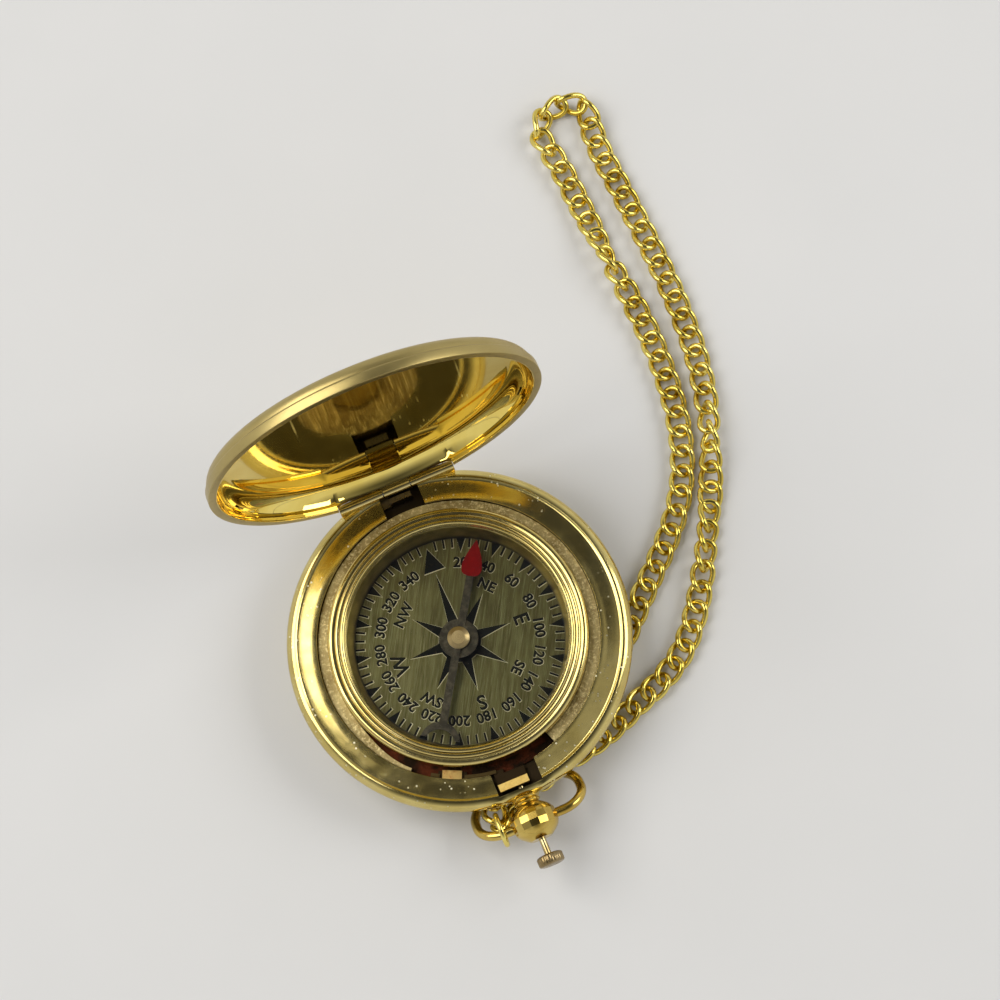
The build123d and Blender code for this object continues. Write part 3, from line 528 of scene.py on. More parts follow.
# Dial marks
# The compass rose, the degree ring and the figures are stamped in the plate and filled with black lacquer.
# The stamped edges stand up a little and are bare, so each black mark has a thin bright border.
NORTH = 2.6
MARK_BASE = DIAL_Z + 0.004
EDGE_TOP = MARK_BASE + 0.012
FILL_TOP = MARK_BASE + 0.024
SCALE_IN = 12.45
SCALE_OUT = 13.7
BLADE_LONG = 6.75
NORTH_BLADE_LONG = 9.3
BLADE_ROOT = 2.2
BLADE_HALF = 0.72
MIDDLE_R = 2.75


def at_bearing(forward, sideways, bearing):
    """Points given by a distance forward along a bearing and a distance to its right, clockwise from +Y."""
    a = np.radians(bearing)
    x = forward * np.sin(a) + sideways * np.cos(a)
    y = forward * np.cos(a) - sideways * np.sin(a)
    return np.stack([x, y], axis=-1)


def raised(flat, low, high):
    """Corners and faces of thin plates: each row of points is the outline of one, between two heights."""
    count, sides = flat.shape[:2]
    corners = np.concatenate([
        np.dstack([flat, np.full((count, sides), low)]),
        np.dstack([flat, np.full((count, sides), high)]),
    ], axis=1).reshape(-1, 3)
    first = np.arange(count)[:, None] * 2 * sides
    ring = np.arange(sides)
    turned_ring = np.roll(ring, -1)
    walls = np.stack([ring, turned_ring, turned_ring + sides, ring + sides], axis=-1)
    walls = (walls[None] + first[:, :, None]).reshape(-1, 4)
    undersides = [(ring[::-1] + k).tolist() for k in first[:, 0]]
    tops = [(ring + sides + k).tolist() for k in first[:, 0]]
    return corners, undersides + tops + walls.tolist()


def wedge(tip, base, half, bearing, grow=0.0):
    """Outlines of triangles with their tip at one radius and their base at another, counter-clockwise."""
    lean = np.sign(base - tip)
    points = [
        at_bearing(tip - 2.2 * lean * grow, 0 * bearing, bearing),
        at_bearing(base + lean * grow, -lean * (half + grow), bearing),
        at_bearing(base + lean * grow, lean * (half + grow), bearing),
    ]
    return np.stack(points, axis=1)


def bar(start, end, half, bearing):
    """Outlines of radial bars between two radii, counter-clockwise."""
    points = [(start, -half), (start, half), (end, half), (end, -half)]
    return np.stack([at_bearing(f + 0 * bearing, s, bearing) for f, s in points], axis=1)


def joined(groups):
    """One list of corners and faces from several."""
    corners, faces, count = [], [], 0
    for points, cells in groups:
        corners.append(points)
        faces += [[k + count for k in cell] for cell in cells]
        count += len(points)
    return np.vstack(corners), faces


def rose(grow, low, high):
    """The eight-pointed rose, its middle, the north mark, the wedges and the lines every 5 degrees."""
    points = np.arange(8) * 45.0 + NORTH
    length = np.where(np.arange(8) == 0, NORTH_BLADE_LONG, BLADE_LONG)
    blades = np.stack([
        at_bearing(length + 3 * grow, 0.0, points),
        at_bearing(BLADE_ROOT, -BLADE_HALF - grow, points),
        at_bearing(BLADE_ROOT - 1.0, 0.0, points),
        at_bearing(BLADE_ROOT, BLADE_HALF + grow, points),
    ], axis=1)
    disc = at_bearing(MIDDLE_R + grow, 0.0, -np.arange(0, 360, 7.5))[None]
    north = wedge(13.0, 9.9, 1.42, np.array([NORTH]), grow)
    wedges = wedge(11.85, SCALE_OUT, 0.6, np.arange(20, 360, 20.0) + NORTH, grow * 0.8)
    lines = np.arange(5, 360, 5.0)
    ticks = bar(SCALE_IN - grow, SCALE_OUT, 0.14 + 0.7 * grow, lines[lines % 20 != 0] + NORTH)
    return joined([raised(shape, low, high) for shape in (blades, disc, north, wedges, ticks)])


def figures(swell, low, high):
    """Figures every 20 degrees and letters at the directions, tops outward, as thin plates."""
    words = [(str(angle), angle, 10.4, 1.88) for angle in range(20, 360, 20)]
    letters = (
        ("NE", 45, 8.1, 1.9), ("E", 90, 8.4, 2.8), ("SE", 135, 8.3, 1.9), ("S", 180, 8.5, 2.65),
        ("SW", 225, 8.4, 1.9), ("W", 268, 8.25, 2.7), ("NW", 315, 8.1, 1.9),
    )
    plates = bmesh.new()
    for word, angle, radius, size in (*words, *letters):
        text = bpy.data.curves.new("figure", "FONT")
        text.body = word
        text.size = size * MM
        text.align_x = text.align_y = "CENTER"
        text.offset = swell * MM
        text.extrude = (high - low) / 2 * MM
        text.resolution_u = 3
        holder = bpy.data.objects.new("figure", text)
        bpy.context.scene.collection.objects.link(holder)
        bpy.context.view_layer.update()
        flat = bpy.data.meshes.new_from_object(holder)
        bearing = np.radians(angle + NORTH)
        place = Vector((radius * np.sin(bearing), radius * np.cos(bearing), (low + high) / 2)) * MM
        flat.transform(Matrix.Translation(place) @ Matrix.Rotation(-bearing, 4, "Z"))
        plates.from_mesh(flat)
        bpy.data.objects.remove(holder)
        bpy.data.curves.remove(text)
        bpy.data.meshes.remove(flat)
    bmesh.ops.remove_doubles(plates, verts=plates.verts, dist=1e-7)
    mesh = bpy.data.meshes.new("figures")
    plates.to_mesh(mesh)
    plates.free()
    return mesh


def lacquer(name):
    """Black lacquer in the stamped marks, worn thin so that brown brass shows through in places."""
    n = Nodes(name)
    wear = n.span(n.noise(1900, 4, 0.6), 0.58, 0.74)
    colour = n.mix(wear, (0.005, 0.0045, 0.0035, 1), (0.035, 0.026, 0.011, 1))
    n.relief(n.noise(5200, 2), 0.00001, 0.5)
    return n.finish(Base_Color=colour, Roughness=n.span(wear, 0, 1, 0.5, 0.7), Specular_IOR_Level=0.15)


mark_black = lacquer("mark_lacquer")
mark_edge = brass("mark_edge", (0.92, 0.85, 0.55), (0.62, 0.55, 0.29), gloss=0.30, dull=0.45)
# The stamp went in slightly aslant, so the bare edge is wider on one side of every mark
ASLANT = np.array((0.022, -0.05, 0.0))
corners, faces = rose(0.075, MARK_BASE, EDGE_TOP)
border = smooth_mesh("dial_mark_border", corners + ASLANT, faces, crease=10)
add_piece("dial_mark_border", border, [mark_edge], "case")
filling = smooth_mesh("dial_mark_filling", *rose(0.0, MARK_BASE, FILL_TOP), crease=10)
add_piece("dial_mark_filling", filling, [mark_black], "case")
figure_border = figures(0.11, MARK_BASE, EDGE_TOP)
figure_border.transform(Matrix.Translation(ASLANT * MM))
add_piece("dial_figure_border", figure_border, [mark_edge], "case")
add_piece("dial_figures", figures(0.065, MARK_BASE, FILL_TOP), [mark_black], "case")

# Dial ring
# A turned ring with a sloping wall, which holds the dial down and carries the glass.
# It is left satin from the lathe, and the foot of its slope is painted dark as shade.
DIAL_VIEW_R = 13.65
GLASS_VIEW_R = 14.425
DIAL_RING_R = 16.0


def satin_ring(name):
    """Turned brass, satin and gilt at the top of its slope, and painted dark down at the dial as shade."""
    n = Nodes(name)
    cloud = n.noise(600, 3)
    colour = n.mix(n.span(cloud, 0.35, 0.65), (0.46, 0.35, 0.12, 1), (0.66, 0.52, 0.20, 1))
    # Painted shade: the slope is darkened towards its foot at the dial.
    colour = n.mix(n.span(n.height(), 0.0052, 0.0061, 1.0, 0.0), colour, (0.05, 0.035, 0.014, 1))
    n.relief(cloud, 0.00001, 0.5)
    return n.finish(Metallic=1.0, Base_Color=colour, Roughness=n.span(cloud, 0.3, 0.7, 0.32, 0.44))


slope = np.array([
    (DIAL_VIEW_R, DIAL_Z), (DIAL_RING_R, DIAL_Z), (DIAL_RING_R, GLASS_Z), (GLASS_VIEW_R, GLASS_Z),
])
add_piece(
    "dial_ring_turned",
    grid_mesh("dial_ring_turned", turned(eased(slope, 0.06))),
    [satin_ring("dial_ring_brass")], "case", ["dial_ring"],
)

# Needle
# A strip of blackened steel cut to a leaf point and a horseshoe tail, on a dark hub disc with a brass cap.
# The point is dipped in red enamel, and a jewel in the cap rides on the pivot.
BEARING = np.radians(32.5)
RED_FROM = 8.3
NEEDLE_Z = 7.099
NEEDLE_SHEET = 0.25
STRIP_HALF = 0.5
HUB_REACH = 1.0
LEAF = np.array([(8.35, STRIP_HALF), (8.45, 2.0), (10.8, 1.25), (13.1, 0.02)])
TAIL_END = -13.3
HORN_OUT = (-13.69, 2.55)
HORN_IN = (-14.08, 2.0)


def needle_steel(name):
    """Blackened steel, with red enamel on all that lies further along the needle than its point's base."""
    n = Nodes(name)
    ahead = (np.sin(BEARING), np.cos(BEARING), 0)
    along = n.add("VectorMath", {0: n.place, 1: ahead}, operation="DOT_PRODUCT").outputs["Value"]
    ragged = n.sum("ADD", along, n.span(n.noise(2600, 2), 0, 1, -0.0001, 0.0001))
    red = n.sum("GREATER_THAN", ragged, RED_FROM * MM)
    wear = n.span(n.noise(1400, 4, 0.6), 0.4, 0.7)
    steel = n.mix(wear, (0.065, 0.055, 0.038, 1), (0.14, 0.117, 0.078, 1))
    enamel = n.mix(wear, (0.30, 0.0005, 0.0005, 1), (0.40, 0.002, 0.002, 1))
    n.relief(n.noise(3000, 3), 0.00001, 0.5)
    return n.finish(
        Base_Color=n.mix(red, steel, enamel),
        Metallic=n.span(red, 0, 1, 0.75, 0.0),
        Roughness=n.span(red, 0, 1, 0.42, 0.3),
        Specular_IOR_Level=n.span(red, 0, 1, 0.25, 0.1),
    )


def lathe_brass(name, bright, deep, gloss):
    """Brass straight from the lathe: fine rings, from noise along the distance from the upright axis."""
    n = Nodes(name)
    outward = n.add("CombineXYZ", {0: n.sum("MULTIPLY", n.from_axis(), 7000.0)}).outputs[0]
    ring = n.noise(1.0, 3, 0.6, at=outward)
    cloud = n.noise(700, 3)
    colour = n.mix(n.span(n.sum("ADD", ring, cloud), 0.7, 1.3), (*deep, 1), (*bright, 1))
    n.relief(ring, 0.000008, 0.6)
    return n.finish(Metallic=1.0, Base_Color=colour, Roughness=n.span(cloud, 0.3, 0.7, gloss, gloss + 0.12))


def garnet(name):
    """The jewel: a small dark red stone, cloudy inside."""
    n = Nodes(name)
    cloud = n.span(n.noise(2500, 3), 0.35, 0.7)
    return n.finish(Base_Color=n.mix(cloud, (0.10, 0.004, 0.012, 1), (0.22, 0.012, 0.03, 1)), Roughness=0.08)


def cut_strip(right):
    """Corners and faces of a flat strip: its outline is a right side, and the same mirrored on its left."""
    outline = np.vstack([right, right[::-1] * (1, -1)])
    flat = at_bearing(outline[:, 0], outline[:, 1], np.degrees(BEARING))
    return raised(flat[None], NEEDLE_Z, NEEDLE_Z + NEEDLE_SHEET)


def to_end(centre, radius, steps):
    """The right half of a circle's edge, from its top on the needle's line back to where the tail ends."""
    end = np.degrees(np.arccos((TAIL_END - centre) / radius))
    return arc((centre, 0), radius, 0, end, steps)


t = np.linspace(0, 1, 12)[:, None]
# The leaf is a curve of the third order: from its rounded base out to its widest place, and in to the tip
leaf = np.hstack([(1 - t) ** 3, 3 * t * (1 - t) ** 2, 3 * t**2 * (1 - t), t**3]) @ LEAF
front = cut_strip(np.vstack([[(HUB_REACH, STRIP_HALF)], leaf]))
horn = to_end(*HORN_OUT, 16)[::-1][:-4]
tail = cut_strip(np.vstack([
    to_end(*HORN_IN, 14)[1:], horn, [(-11.2, STRIP_HALF), (-HUB_REACH, STRIP_HALF)],
]))
needle_finish = needle_steel("needle_finish")
needle_mesh = smooth_mesh("needle_cut", *joined([front, tail]), crease=20)
add_piece("needle_cut", needle_mesh, [needle_finish], "needle", ["needle"])
dress(["needle_hub"], needle_finish)
dress(["needle_cap"], lathe_brass("cap_brass", (0.66, 0.50, 0.24), (0.46, 0.32, 0.14), 0.28))
dress(["needle_jewel"], garnet("jewel_stone"))

# Glass
# A flat disc of clear glass, ground at the edge and lying on the dial ring under the bezel's lip.
# A faint film of dust and old wiping marks is left on it.


def clear_glass(name):
    """Clear glass with a faint film: its roughness rises a little in wiping marks."""
    n = Nodes(name)
    film = n.span(n.noise(1.0, 4, 0.6, at=n.stretch((420, 90, 90), (0, 0, 35))), 0.5, 0.8)
    return n.finish(
        Base_Color=(0.97, 0.985, 0.97, 1),
        Roughness=n.span(film, 0, 1, 0.0, 0.03),
        Transmission_Weight=1.0,
        IOR=1.45,
    )


dress(["glass"], clear_glass("dial_glass"))

# Bezel
# A stepped ring turned from brass and pushed over the cup, so that its lip holds the glass.
# Its steps are turned as round mouldings with fine grooves between them, and polished.
BEZEL_BORE_R = 16.6
BEZEL_R = 16.9
BEZEL_LIP_Z = 9.399
mouldings = np.vstack([
    [(BEZEL_BORE_R, CUP_FLANGE_Z), (BEZEL_R, CUP_FLANGE_Z)],
    arc((BEZEL_R - 0.6, 9.049), 0.6, 0, 105, 12),
    [(15.93, 9.56)],
    arc((15.58, 9.52), 0.35, 15, 110, 10),
    [(15.29, 9.78)],
    arc((14.94, 9.77), 0.33, 10, 175, 14),
    [(14.5, 9.66), (GLASS_VIEW_R, BEZEL_LIP_Z), (BEZEL_BORE_R, BEZEL_LIP_Z)],
])
bezel_brass = brass("bezel_brass", (0.78, 0.64, 0.27), (0.62, 0.48, 0.16), gloss=0.12, dull=0.2, scratch=0.4)
add_piece(
    "bezel_ring",
    grid_mesh("bezel_ring", turned(mouldings)),
    [bezel_brass], "case", ["bezel"],
)

# Springs, clamp and screw
# The catch that holds the lid and the finger that throws it open are bent from flat spring strip.
# A small bronze block clamps the first in the groove round the bezel, and a screw holds the second.


def worn_bronze(name):
    """Worn bronze with red-brown stain in its low places."""
    n = Nodes(name)
    stain = n.span(n.noise(900, 4, 0.6), 0.45, 0.68)
    colour = n.mix(stain, (0.70, 0.47, 0.15, 1), (0.36, 0.15, 0.045, 1))
    n.relief(n.noise(2600, 3), 0.00002, 0.6)
    return n.finish(Metallic=0.9, Base_Color=colour, Roughness=n.span(stain, 0, 1, 0.28, 0.55))


def gilt_catch(name):
    """Gilt spring strip, bright on the catch that the lid rubs, with painted shade down in the groove."""
    n = Nodes(name)
    wear = n.span(n.noise(1500, 4, 0.6), 0.4, 0.7)
    colour = n.mix(wear, (0.92, 0.66, 0.20, 1), (0.72, 0.48, 0.12, 1))
    # Painted shade: the strip is painted near black below the catch, down in the groove.
    colour = n.mix(n.span(n.height(), 0.0072, 0.0082, 1.0, 0.0), colour, (0.035, 0.023, 0.011, 1))
    n.relief(n.noise(3200, 2), 0.00001, 0.5)
    return n.finish(Metallic=1.0, Base_Color=colour, Roughness=n.span(wear, 0, 1, 0.40, 0.5))


# The lift spring and its screw are painted very dark: partly the strip's own blackened steel, and partly
# painted shade deep in the hinge slot.
spring_strip = brass(
    "spring_strip", (0.16, 0.13, 0.08), (0.08, 0.063, 0.037), gloss=0.24, dull=0.4, scratch=0.7,
)
dress(["lock_spring"], gilt_catch("gilt_spring"))
dress(["lift_spring", "lift_spring_screw"], spring_strip)
dress(["lock_spring_clamp"], worn_bronze("clamp_bronze"))

# Pendant neck and ball
# A short neck with two turned beads is let into the band, and a faceted ball is screwed on it.
# Both are polished and gilt, and each facet of the ball is cut flat.
PENDANT_Z = 6.699
NECK_Y = 22.2
NECK_R = 1.525
BEAD_RISE = 0.275
SPIGOT_R = 0.75
ROD_HOLE_R = 0.5
BALL_Y = 23.3
BALL_LONG = 4.75
BALL_R = 3.09
FACETS = 16
FACET_FROM = 2.86
FACET_FULL = 2.96


def along_pendant(points):
    """Points turned round +Z, laid over so that their height runs outward along the pendant."""
    return np.stack([points[..., 0], -points[..., 2], points[..., 1] + PENDANT_Z], axis=-1)


t = np.linspace(0, 1, 13)[:, None]
# The two beads rise from the neck as |sin| over its length
beads = np.hstack([NECK_R + BEAD_RISE * np.abs(np.sin(2 * np.pi * t)), NECK_Y + (BALL_Y - NECK_Y) * t])
neck = np.vstack([
    beads, [(ROD_HOLE_R, BALL_Y), (ROD_HOLE_R, CHANNEL_R), (SPIGOT_R, CHANNEL_R), (SPIGOT_R, NECK_Y)],
])
pendant_gilt = brass(
    "pendant_gilt", (0.72, 0.54, 0.15), (0.52, 0.35, 0.07), gloss=0.13, dull=0.22, scratch=0.35,
)
add_piece(
    "pendant_neck_beads",
    grid_mesh("pendant_neck_beads", along_pendant(turned(neck, 96))),
    [pendant_gilt], "case", ["pendant_neck"],
)
half_belt = np.array([
    (ROD_HOLE_R, 0.0), (1.45, 0.0), (1.62, 0.1), (2.05, 0.42), (2.42, 0.72), (2.68, 1.0), (FACET_FROM, 1.3),
    (FACET_FULL, 1.5),
])
belt = np.vstack([half_belt, [(BALL_R, BALL_LONG / 2)], half_belt[::-1] * (1, -1) + (0, BALL_LONG)])
v = np.linspace(0, 2 * np.pi, FACETS * 10, endpoint=False)
# A regular polygon's radius is cos(pi/n) / cos(a) for an angle a from the middle of a side
half_side = np.pi / FACETS
flat_side = np.cos(half_side) / np.cos(np.mod(v + half_side, 2 * half_side) - half_side)
cut = np.clip((belt[:, :1] - FACET_FROM) / (FACET_FULL - FACET_FROM), 0, 1)
ball_r = belt[:, :1] * (1 - cut + cut * flat_side / flat_side.mean())
ball_y = np.broadcast_to(belt[:, 1:] + BALL_Y, ball_r.shape)
ball = along_pendant(np.stack([ball_r * np.cos(v), ball_r * np.sin(v), ball_y], axis=-1))
add_piece(
    "pendant_ball_cut",
    grid_mesh("pendant_ball_cut", ball, crease=12),
    [pendant_gilt], "case", ["pendant_ball"],
)

# Bow
# A stirrup of gilt wire whose ends turn in the sides of the ball. It is swung back under the case's front.
# The wire is drawn round and bent cold, so its corners are smooth.
BOW_TILT = np.radians(45.13)
BOW_REACH = 8.5
BOW_HALF = 7.2
BOW_END = 2.3
BOW_SHOULDER = 3.2
BOW_CORNER = 4.5
BOW_WIRE = 1.25
BALL_MIDDLE = -25.675


def bow_line():
    """The wire's line in the stirrup's plane: straight runs joined by arcs at the shoulders and corners."""
    half = np.vstack([
        [(BOW_END, 0.0)],
        arc((BOW_HALF - BOW_SHOULDER, BOW_SHOULDER), BOW_SHOULDER, -90, 0, 18),
        arc((BOW_HALF - BOW_CORNER, BOW_REACH - BOW_CORNER), BOW_CORNER, 0, 90, 20),
    ])
    return np.vstack([half, half[::-1] * (-1, 1)])


def wire(line, normal, radius, sides=20):
    """A round wire along a flat line.

    A ring of radius r about a point p is p + r (cos v side + sin v normal), and both ends close on a pole.
    """
    along = np.gradient(line, axis=0)
    along /= np.linalg.norm(along, axis=1, keepdims=True)
    out = np.cross(along, normal)
    v = np.linspace(0, 2 * np.pi, sides, endpoint=False)[None, :, None]
    rings = line[:, None] + radius * (np.cos(v) * out[:, None] + np.sin(v) * np.asarray(normal))
    ends = [np.repeat(line[k : k + 1, None], sides, axis=1) for k in (0, len(line) - 1)]
    return np.concatenate([ends[0], rings, ends[1]])


flat = bow_line()
bow_points = np.stack([
    flat[:, 0],
    BALL_MIDDLE + flat[:, 1] * np.cos(BOW_TILT),
    PENDANT_Z - flat[:, 1] * np.sin(BOW_TILT),
], axis=-1)
bow_normal = (0, np.sin(BOW_TILT), np.cos(BOW_TILT))
bow_mesh = grid_mesh("bow_wire", wire(bow_points, bow_normal, BOW_WIRE / 2), loop_rows=False)
add_piece("bow_wire", bow_mesh, [pendant_gilt], "bow", ["bow"])

# Push button
# A rod through the pendant pushes the catch. Its head is a small knurled disc of darker bronze.
# The knurl is cut along the rod, and the end is faced flat with a ring.
BUTTON_Y = 30.25
BUTTON_R = 1.75
BUTTON_LONG = 1.4
TEETH = 24
TOOTH_DEPTH = 0.06
v = np.linspace(0, 2 * np.pi, TEETH * 8, endpoint=False)
head = np.array([
    (0.0, 0.0), (1.35, 0.0), (1.6, 0.08), (BUTTON_R, 0.26), (BUTTON_R, 1.14), (1.6, 1.32),
    (1.35, BUTTON_LONG), (1.1, BUTTON_LONG), (1.02, 1.33), (0.94, BUTTON_LONG), (0.0, BUTTON_LONG),
])
# The teeth are |sin| round the head, and run out to nothing over its rounded edges
knurl = TOOTH_DEPTH * (np.abs(np.sin(TEETH / 2 * v)) - 1)
depth = np.clip((head[:, :1] - 1.45) / 0.25, 0, 1)
head_r = head[:, :1] + depth * knurl
head_y = np.broadcast_to(head[:, 1:] + BUTTON_Y, head_r.shape)
head_points = along_pendant(np.stack([head_r * np.cos(v), head_r * np.sin(v), head_y], axis=-1))
button_bronze = brass(
    "button_bronze", (0.46, 0.36, 0.20), (0.28, 0.20, 0.09), gloss=0.22, dull=0.42, scratch=0.9,
)
button_rod = brass(
    "button_rod", (0.60, 0.50, 0.26), (0.40, 0.30, 0.12), gloss=0.16, dull=0.32, scratch=0.6, turn=ALONG_X,
)
add_piece(
    "button_head_knurled",
    grid_mesh("button_head_knurled", head_points, loop_rows=False, crease=50),
    [button_bronze], "button", ["button_head"],
)
dress(["button_shaft"], button_rod)

# Jump ring and chain
# A curb chain of gilt wire links, each bent like a saddle so that it lies flat in its neighbours.
# Both ends hang on one jump ring on the bow, and the doubled chain lies on the ground beside the case.
JUMP_MIDDLE = (-4.4, -24.947, 6.088)
JUMP_R = 2.0
JUMP_WIRE = 0.75
chain_gilt = brass("chain_gilt", (0.90, 0.74, 0.20), (0.66, 0.49, 0.08), gloss=0.10, dull=0.24, scratch=0.35)
# The ring stands upright, square to X. Its round wire of radius w lies R + w cos v from the ring's middle
ring_turn = np.radians(np.arange(0, 360, 7.5))[:, None]
ring_side = np.radians(np.arange(0, 360, 20.0))[None, :]
ring_reach = JUMP_R + JUMP_WIRE / 2 * np.cos(ring_side)
jump_ring = np.stack([
    JUMP_WIRE / 2 * np.sin(ring_side) + 0 * ring_turn,
    ring_reach * np.cos(ring_turn),
    ring_reach * np.sin(ring_turn),
], axis=-1) + JUMP_MIDDLE
ring_piece = add_piece(
    "jump_ring_wire", grid_mesh("jump_ring_wire", jump_ring),
    [chain_gilt], "case", ["jump_ring"],
)
chain_route = [
    (-4.4, -23.19, 5.13), (-4.4, -20.99, 3.75), (-3.5, -18.6, 2.4), (-1.4, -17.0, 1.5), (3.6, -16.4, 0.9),
    (7.6, -15.9, 0.9), (11.8, -14.0, 0.9), (15.6, -11.2, 0.9), (19.2, -8.0, 0.9), (22.6, -4.7, 0.9),
    (26.2, -1.2, 0.9), (30.2, 2.5, 0.9), (34.1, 7.1, 0.9), (36.7, 12.3, 0.9), (38.2, 17.8, 0.9),
    (38.9, 23.6, 0.9), (39.1, 29.6, 0.9), (38.7, 35.6, 0.9), (38.0, 41.4, 0.9), (37.7, 47.0, 0.9),
    (37.4, 51.6, 0.9), (37.2, 55.4, 0.9), (36.6, 59.0, 0.9), (36.2, 61.3, 0.9), (37.9, 63.4, 0.9),
    (41.3, 63.9, 0.9), (43.5, 62.2, 0.9), (43.1, 59.2, 0.9), (42.9, 55.4, 0.9), (43.3, 51.6, 0.9),
    (43.6, 46.8, 0.9), (44.0, 41.2, 0.9), (44.2, 35.4, 0.9), (44.15, 29.6, 0.9), (43.7, 24.0, 0.9),
    (42.6, 18.4, 0.9), (40.9, 13.0, 0.9), (38.6, 7.4, 0.9), (36.0, 2.2, 0.9), (33.3, -2.6, 0.9),
    (30.3, -7.4, 0.9), (26.8, -11.6, 0.9), (22.6, -14.3, 0.9), (18.2, -15.8, 0.9), (14.6, -17.4, 0.95),
    (11.4, -18.4, 1.6), (8.6, -19.07, 2.48), (6.0, -19.39, 3.28), (3.4, -20.4, 3.37), (0.8, -21.22, 3.17),
    (-1.7, -23.2, 3.04), (-4.4, -24.19, 4.24),
]


def lie_of(route):
    """Points along the line that the chain takes, read from a spline with the route as its control points."""
    curve = bpy.data.curves.new("chain_lie", "CURVE")
    curve.dimensions = "3D"
    spline = curve.splines.new("NURBS")
    spline.points.add(len(route) - 1)
    spline.points.foreach_set("co", np.hstack([np.array(route) * MM, np.ones((len(route), 1))]).ravel())
    spline.order_u = 3
    spline.use_endpoint_u = True
    spline.resolution_u = 12
    holder = bpy.data.objects.new("chain_lie", curve)
    bpy.context.scene.collection.objects.link(holder)
    bpy.context.view_layer.update()
    mesh = bpy.data.meshes.new_from_object(holder)
    points = np.empty(len(mesh.vertices) * 3)
    mesh.vertices.foreach_get("co", points)
    bpy.data.objects.remove(holder)
    bpy.data.curves.remove(curve)
    bpy.data.meshes.remove(mesh)
    return points.reshape(-1, 3)


LINK_A = 1.97
LINK_B = 1.34
LINK_C = 0.5
LINK_WIRE = 0.8
LINK_PITCH = 2.7
END_OFFSET = 1.115
lie = lie_of(chain_route)
run = np.concatenate([[0], np.cumsum(np.linalg.norm(np.diff(lie, axis=0), axis=1))])
first, last = END_OFFSET * MM, run[-1] - END_OFFSET * MM
spots = np.linspace(first, last, round((last - first) / (LINK_PITCH * MM)) + 1)


def on_lie(distance):
    """Places at given distances along the chain's line."""
    return np.stack([np.interp(distance, run, lie[:, k]) for k in range(3)], axis=-1)


# A link's wire runs along (a cos t, b sin t, -c sin 2t), with a round section about it
t = np.linspace(0, 2 * np.pi, 28, endpoint=False)[:, None]
core = np.hstack([LINK_A * np.cos(t), LINK_B * np.sin(t), -LINK_C * np.sin(2 * t)])
along = np.hstack([-LINK_A * np.sin(t), LINK_B * np.cos(t), -2 * LINK_C * np.cos(2 * t)])
along /= np.linalg.norm(along, axis=1, keepdims=True)
outward = np.cross(along, (0, 0, 1))
outward /= np.linalg.norm(outward, axis=1, keepdims=True)
upward = np.cross(outward, along)
v = np.linspace(0, 2 * np.pi, 10, endpoint=False)[None, :, None]
link = core[:, None] + LINK_WIRE / 2 * (np.cos(v) * outward[:, None] + np.sin(v) * upward[:, None])

# Each link lies along the line, with +Z up, and rolls about it a little, more at the ring and at the twists.
# A twist is a place in x and y, the roll there in degrees, and the number of links over which it dies away
TWISTS = ((40.5, 63.6, 62, 2.4), (38.1, 39.7, 60, 1.8), (41.45, 14.4, 55, 1.8), (35.1, 0.3, -50, 1.8))
GROUND_GAP = 0.03
count = len(spots)
order = np.arange(count)
ahead = on_lie(spots + 0.4 * MM) - on_lie(spots - 0.4 * MM)
ahead /= np.linalg.norm(ahead, axis=1, keepdims=True)
left = np.cross((0, 0, 1), ahead)
left /= np.linalg.norm(left, axis=1, keepdims=True)
top = np.cross(ahead, left)
roll = 70 * np.clip(1 - (count - 1 - order) / 5, 0, 1) + 5 * np.sin(2.4 * order)
middles = on_lie(spots) / MM
for x, y, turn, spread in TWISTS:
    knot = np.argmin(np.hypot(middles[:, 0] - x, middles[:, 1] - y))
    roll = roll + turn * np.exp(-(((order - knot) / spread) ** 2))
roll = np.radians(roll)
sway, lift = np.cos(roll)[:, None], np.sin(roll)[:, None]
left, top = sway * left + lift * top, sway * top - lift * left
axes = np.stack([ahead, left, top], axis=1)
links = middles[:, None, None] + np.einsum("tvk,nkd->ntvd", link, axes)
links[..., 2] += np.maximum(0, GROUND_GAP - links[..., 2].min(axis=(1, 2)))[:, None, None]
link_corners, link_faces, _ = skin(link, True)
faces = (np.array(link_faces)[None] + (order * len(link_corners))[:, None, None]).reshape(-1, 4)
chain_mesh = smooth_mesh("chain_curb", links.reshape(-1, 3), faces.tolist(), crease=80)
chain = add_piece("chain_curb", chain_mesh, [chain_gilt], "case", ["chain_links"])

# Floor, light and camera
# A plain pale floor under a soft light from the left, with a weaker one from the right.
# A small faint card high above puts a sheen on the polished flange at the front right.


def pale_floor(name):
    """A matt, pale grey floor with the faintest cloud in it."""
    n = Nodes(name)
    colour = n.mix(n.noise(40, 3), (0.70, 0.70, 0.69, 1), (0.74, 0.735, 0.725, 1))
    return n.finish(Base_Color=colour, Roughness=0.85)


floor_mesh = bpy.data.meshes.new("floor")
floor_mesh.from_pydata([(-1.5, -1.5, 0), (1.5, -1.5, 0), (1.5, 1.5, 0), (-1.5, 1.5, 0)], [], [(0, 1, 2, 3)])
floor_mesh.materials.append(pale_floor("floor_pale"))
floor = bpy.data.objects.new("floor", floor_mesh)
bpy.context.scene.collection.objects.link(floor)


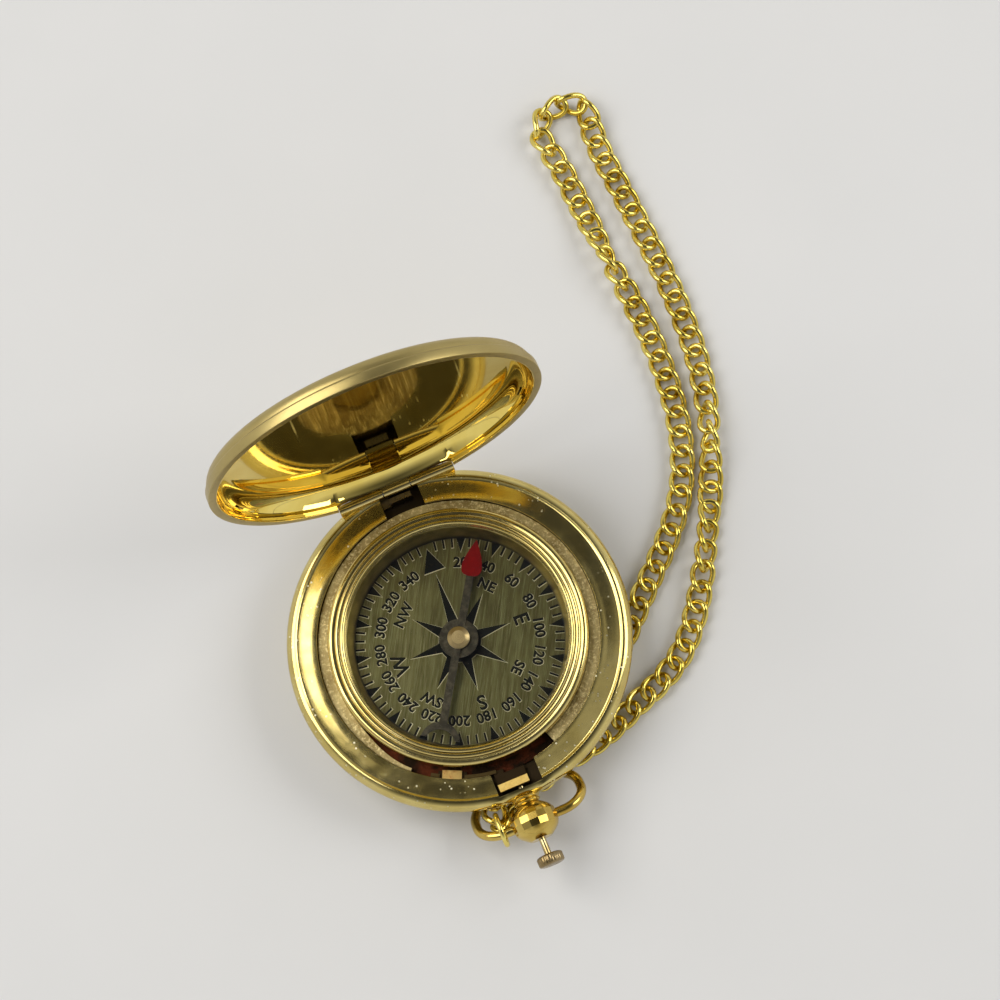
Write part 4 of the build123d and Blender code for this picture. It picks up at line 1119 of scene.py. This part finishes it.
def soft_lamp(name, place, aim, size, watts, tint):
    """A square soft lamp at a place, turned to its aim."""
    lamp = bpy.data.lights.new(name, "AREA")
    lamp.shape = "SQUARE"
    lamp.size = size
    lamp.energy = watts
    lamp.color = tint
    holder = bpy.data.objects.new(name, lamp)
    holder.location = place
    holder.rotation_mode = "QUATERNION"
    holder.rotation_quaternion = (Vector(aim) - Vector(place)).to_track_quat("-Z", "Y")
    bpy.context.scene.collection.objects.link(holder)


soft_lamp("lamp_left", (-0.46, 0.32, 0.78), (0, 0.01, 0), size=0.75, watts=6.2, tint=(1.0, 0.98, 0.95))
soft_lamp("lamp_right", (0.64, -0.05, 0.52), (0, 0.01, 0), size=0.42, watts=2.2, tint=(1.0, 0.99, 0.97))
soft_lamp("lamp_card", (0.076, 0.048, 0.80), (0, 0, 0), size=0.152, watts=0.028, tint=(1.0, 0.99, 0.95))
world = bpy.data.worlds.new("studio")
world.use_nodes = True
tree = world.node_tree
way = tree.nodes.new("ShaderNodeTexCoord")
parts = tree.nodes.new("ShaderNodeSeparateXYZ")
ramp = tree.nodes.new("ShaderNodeValToRGB")
ramp.color_ramp.elements[0].color = (0.72, 0.72, 0.72, 1)
ramp.color_ramp.elements[1].color = (0.06, 0.06, 0.062, 1)
ramp.color_ramp.elements[0].position = 0.35
ramp.color_ramp.elements[1].position = 0.92
tree.links.new(way.outputs["Generated"], parts.inputs[0])
tree.links.new(parts.outputs["Z"], ramp.inputs[0])
tree.links.new(ramp.outputs[0], tree.nodes["Background"].inputs["Color"])
tree.nodes["Background"].inputs["Strength"].default_value = 1.0
bpy.context.scene.world = world

lens = bpy.data.cameras.new("camera")
lens.sensor_width = 36.0
lens.lens = 117.257
lens.clip_start, lens.clip_end = 0.01, 20.0
camera = bpy.data.objects.new("camera", lens)
camera.matrix_world = Matrix((
    (0.92284, 0.38439, -0.02473, 0.001376),
    (-0.37978, 0.89730, -0.22499, -0.080816),
    (-0.06429, 0.21702, 0.97405, 0.421608),
    (0, 0, 0, 1),
))
bpy.context.scene.collection.objects.link(camera)
bpy.context.scene.camera = camera
bpy.context.scene.view_settings.view_transform = "Standard"
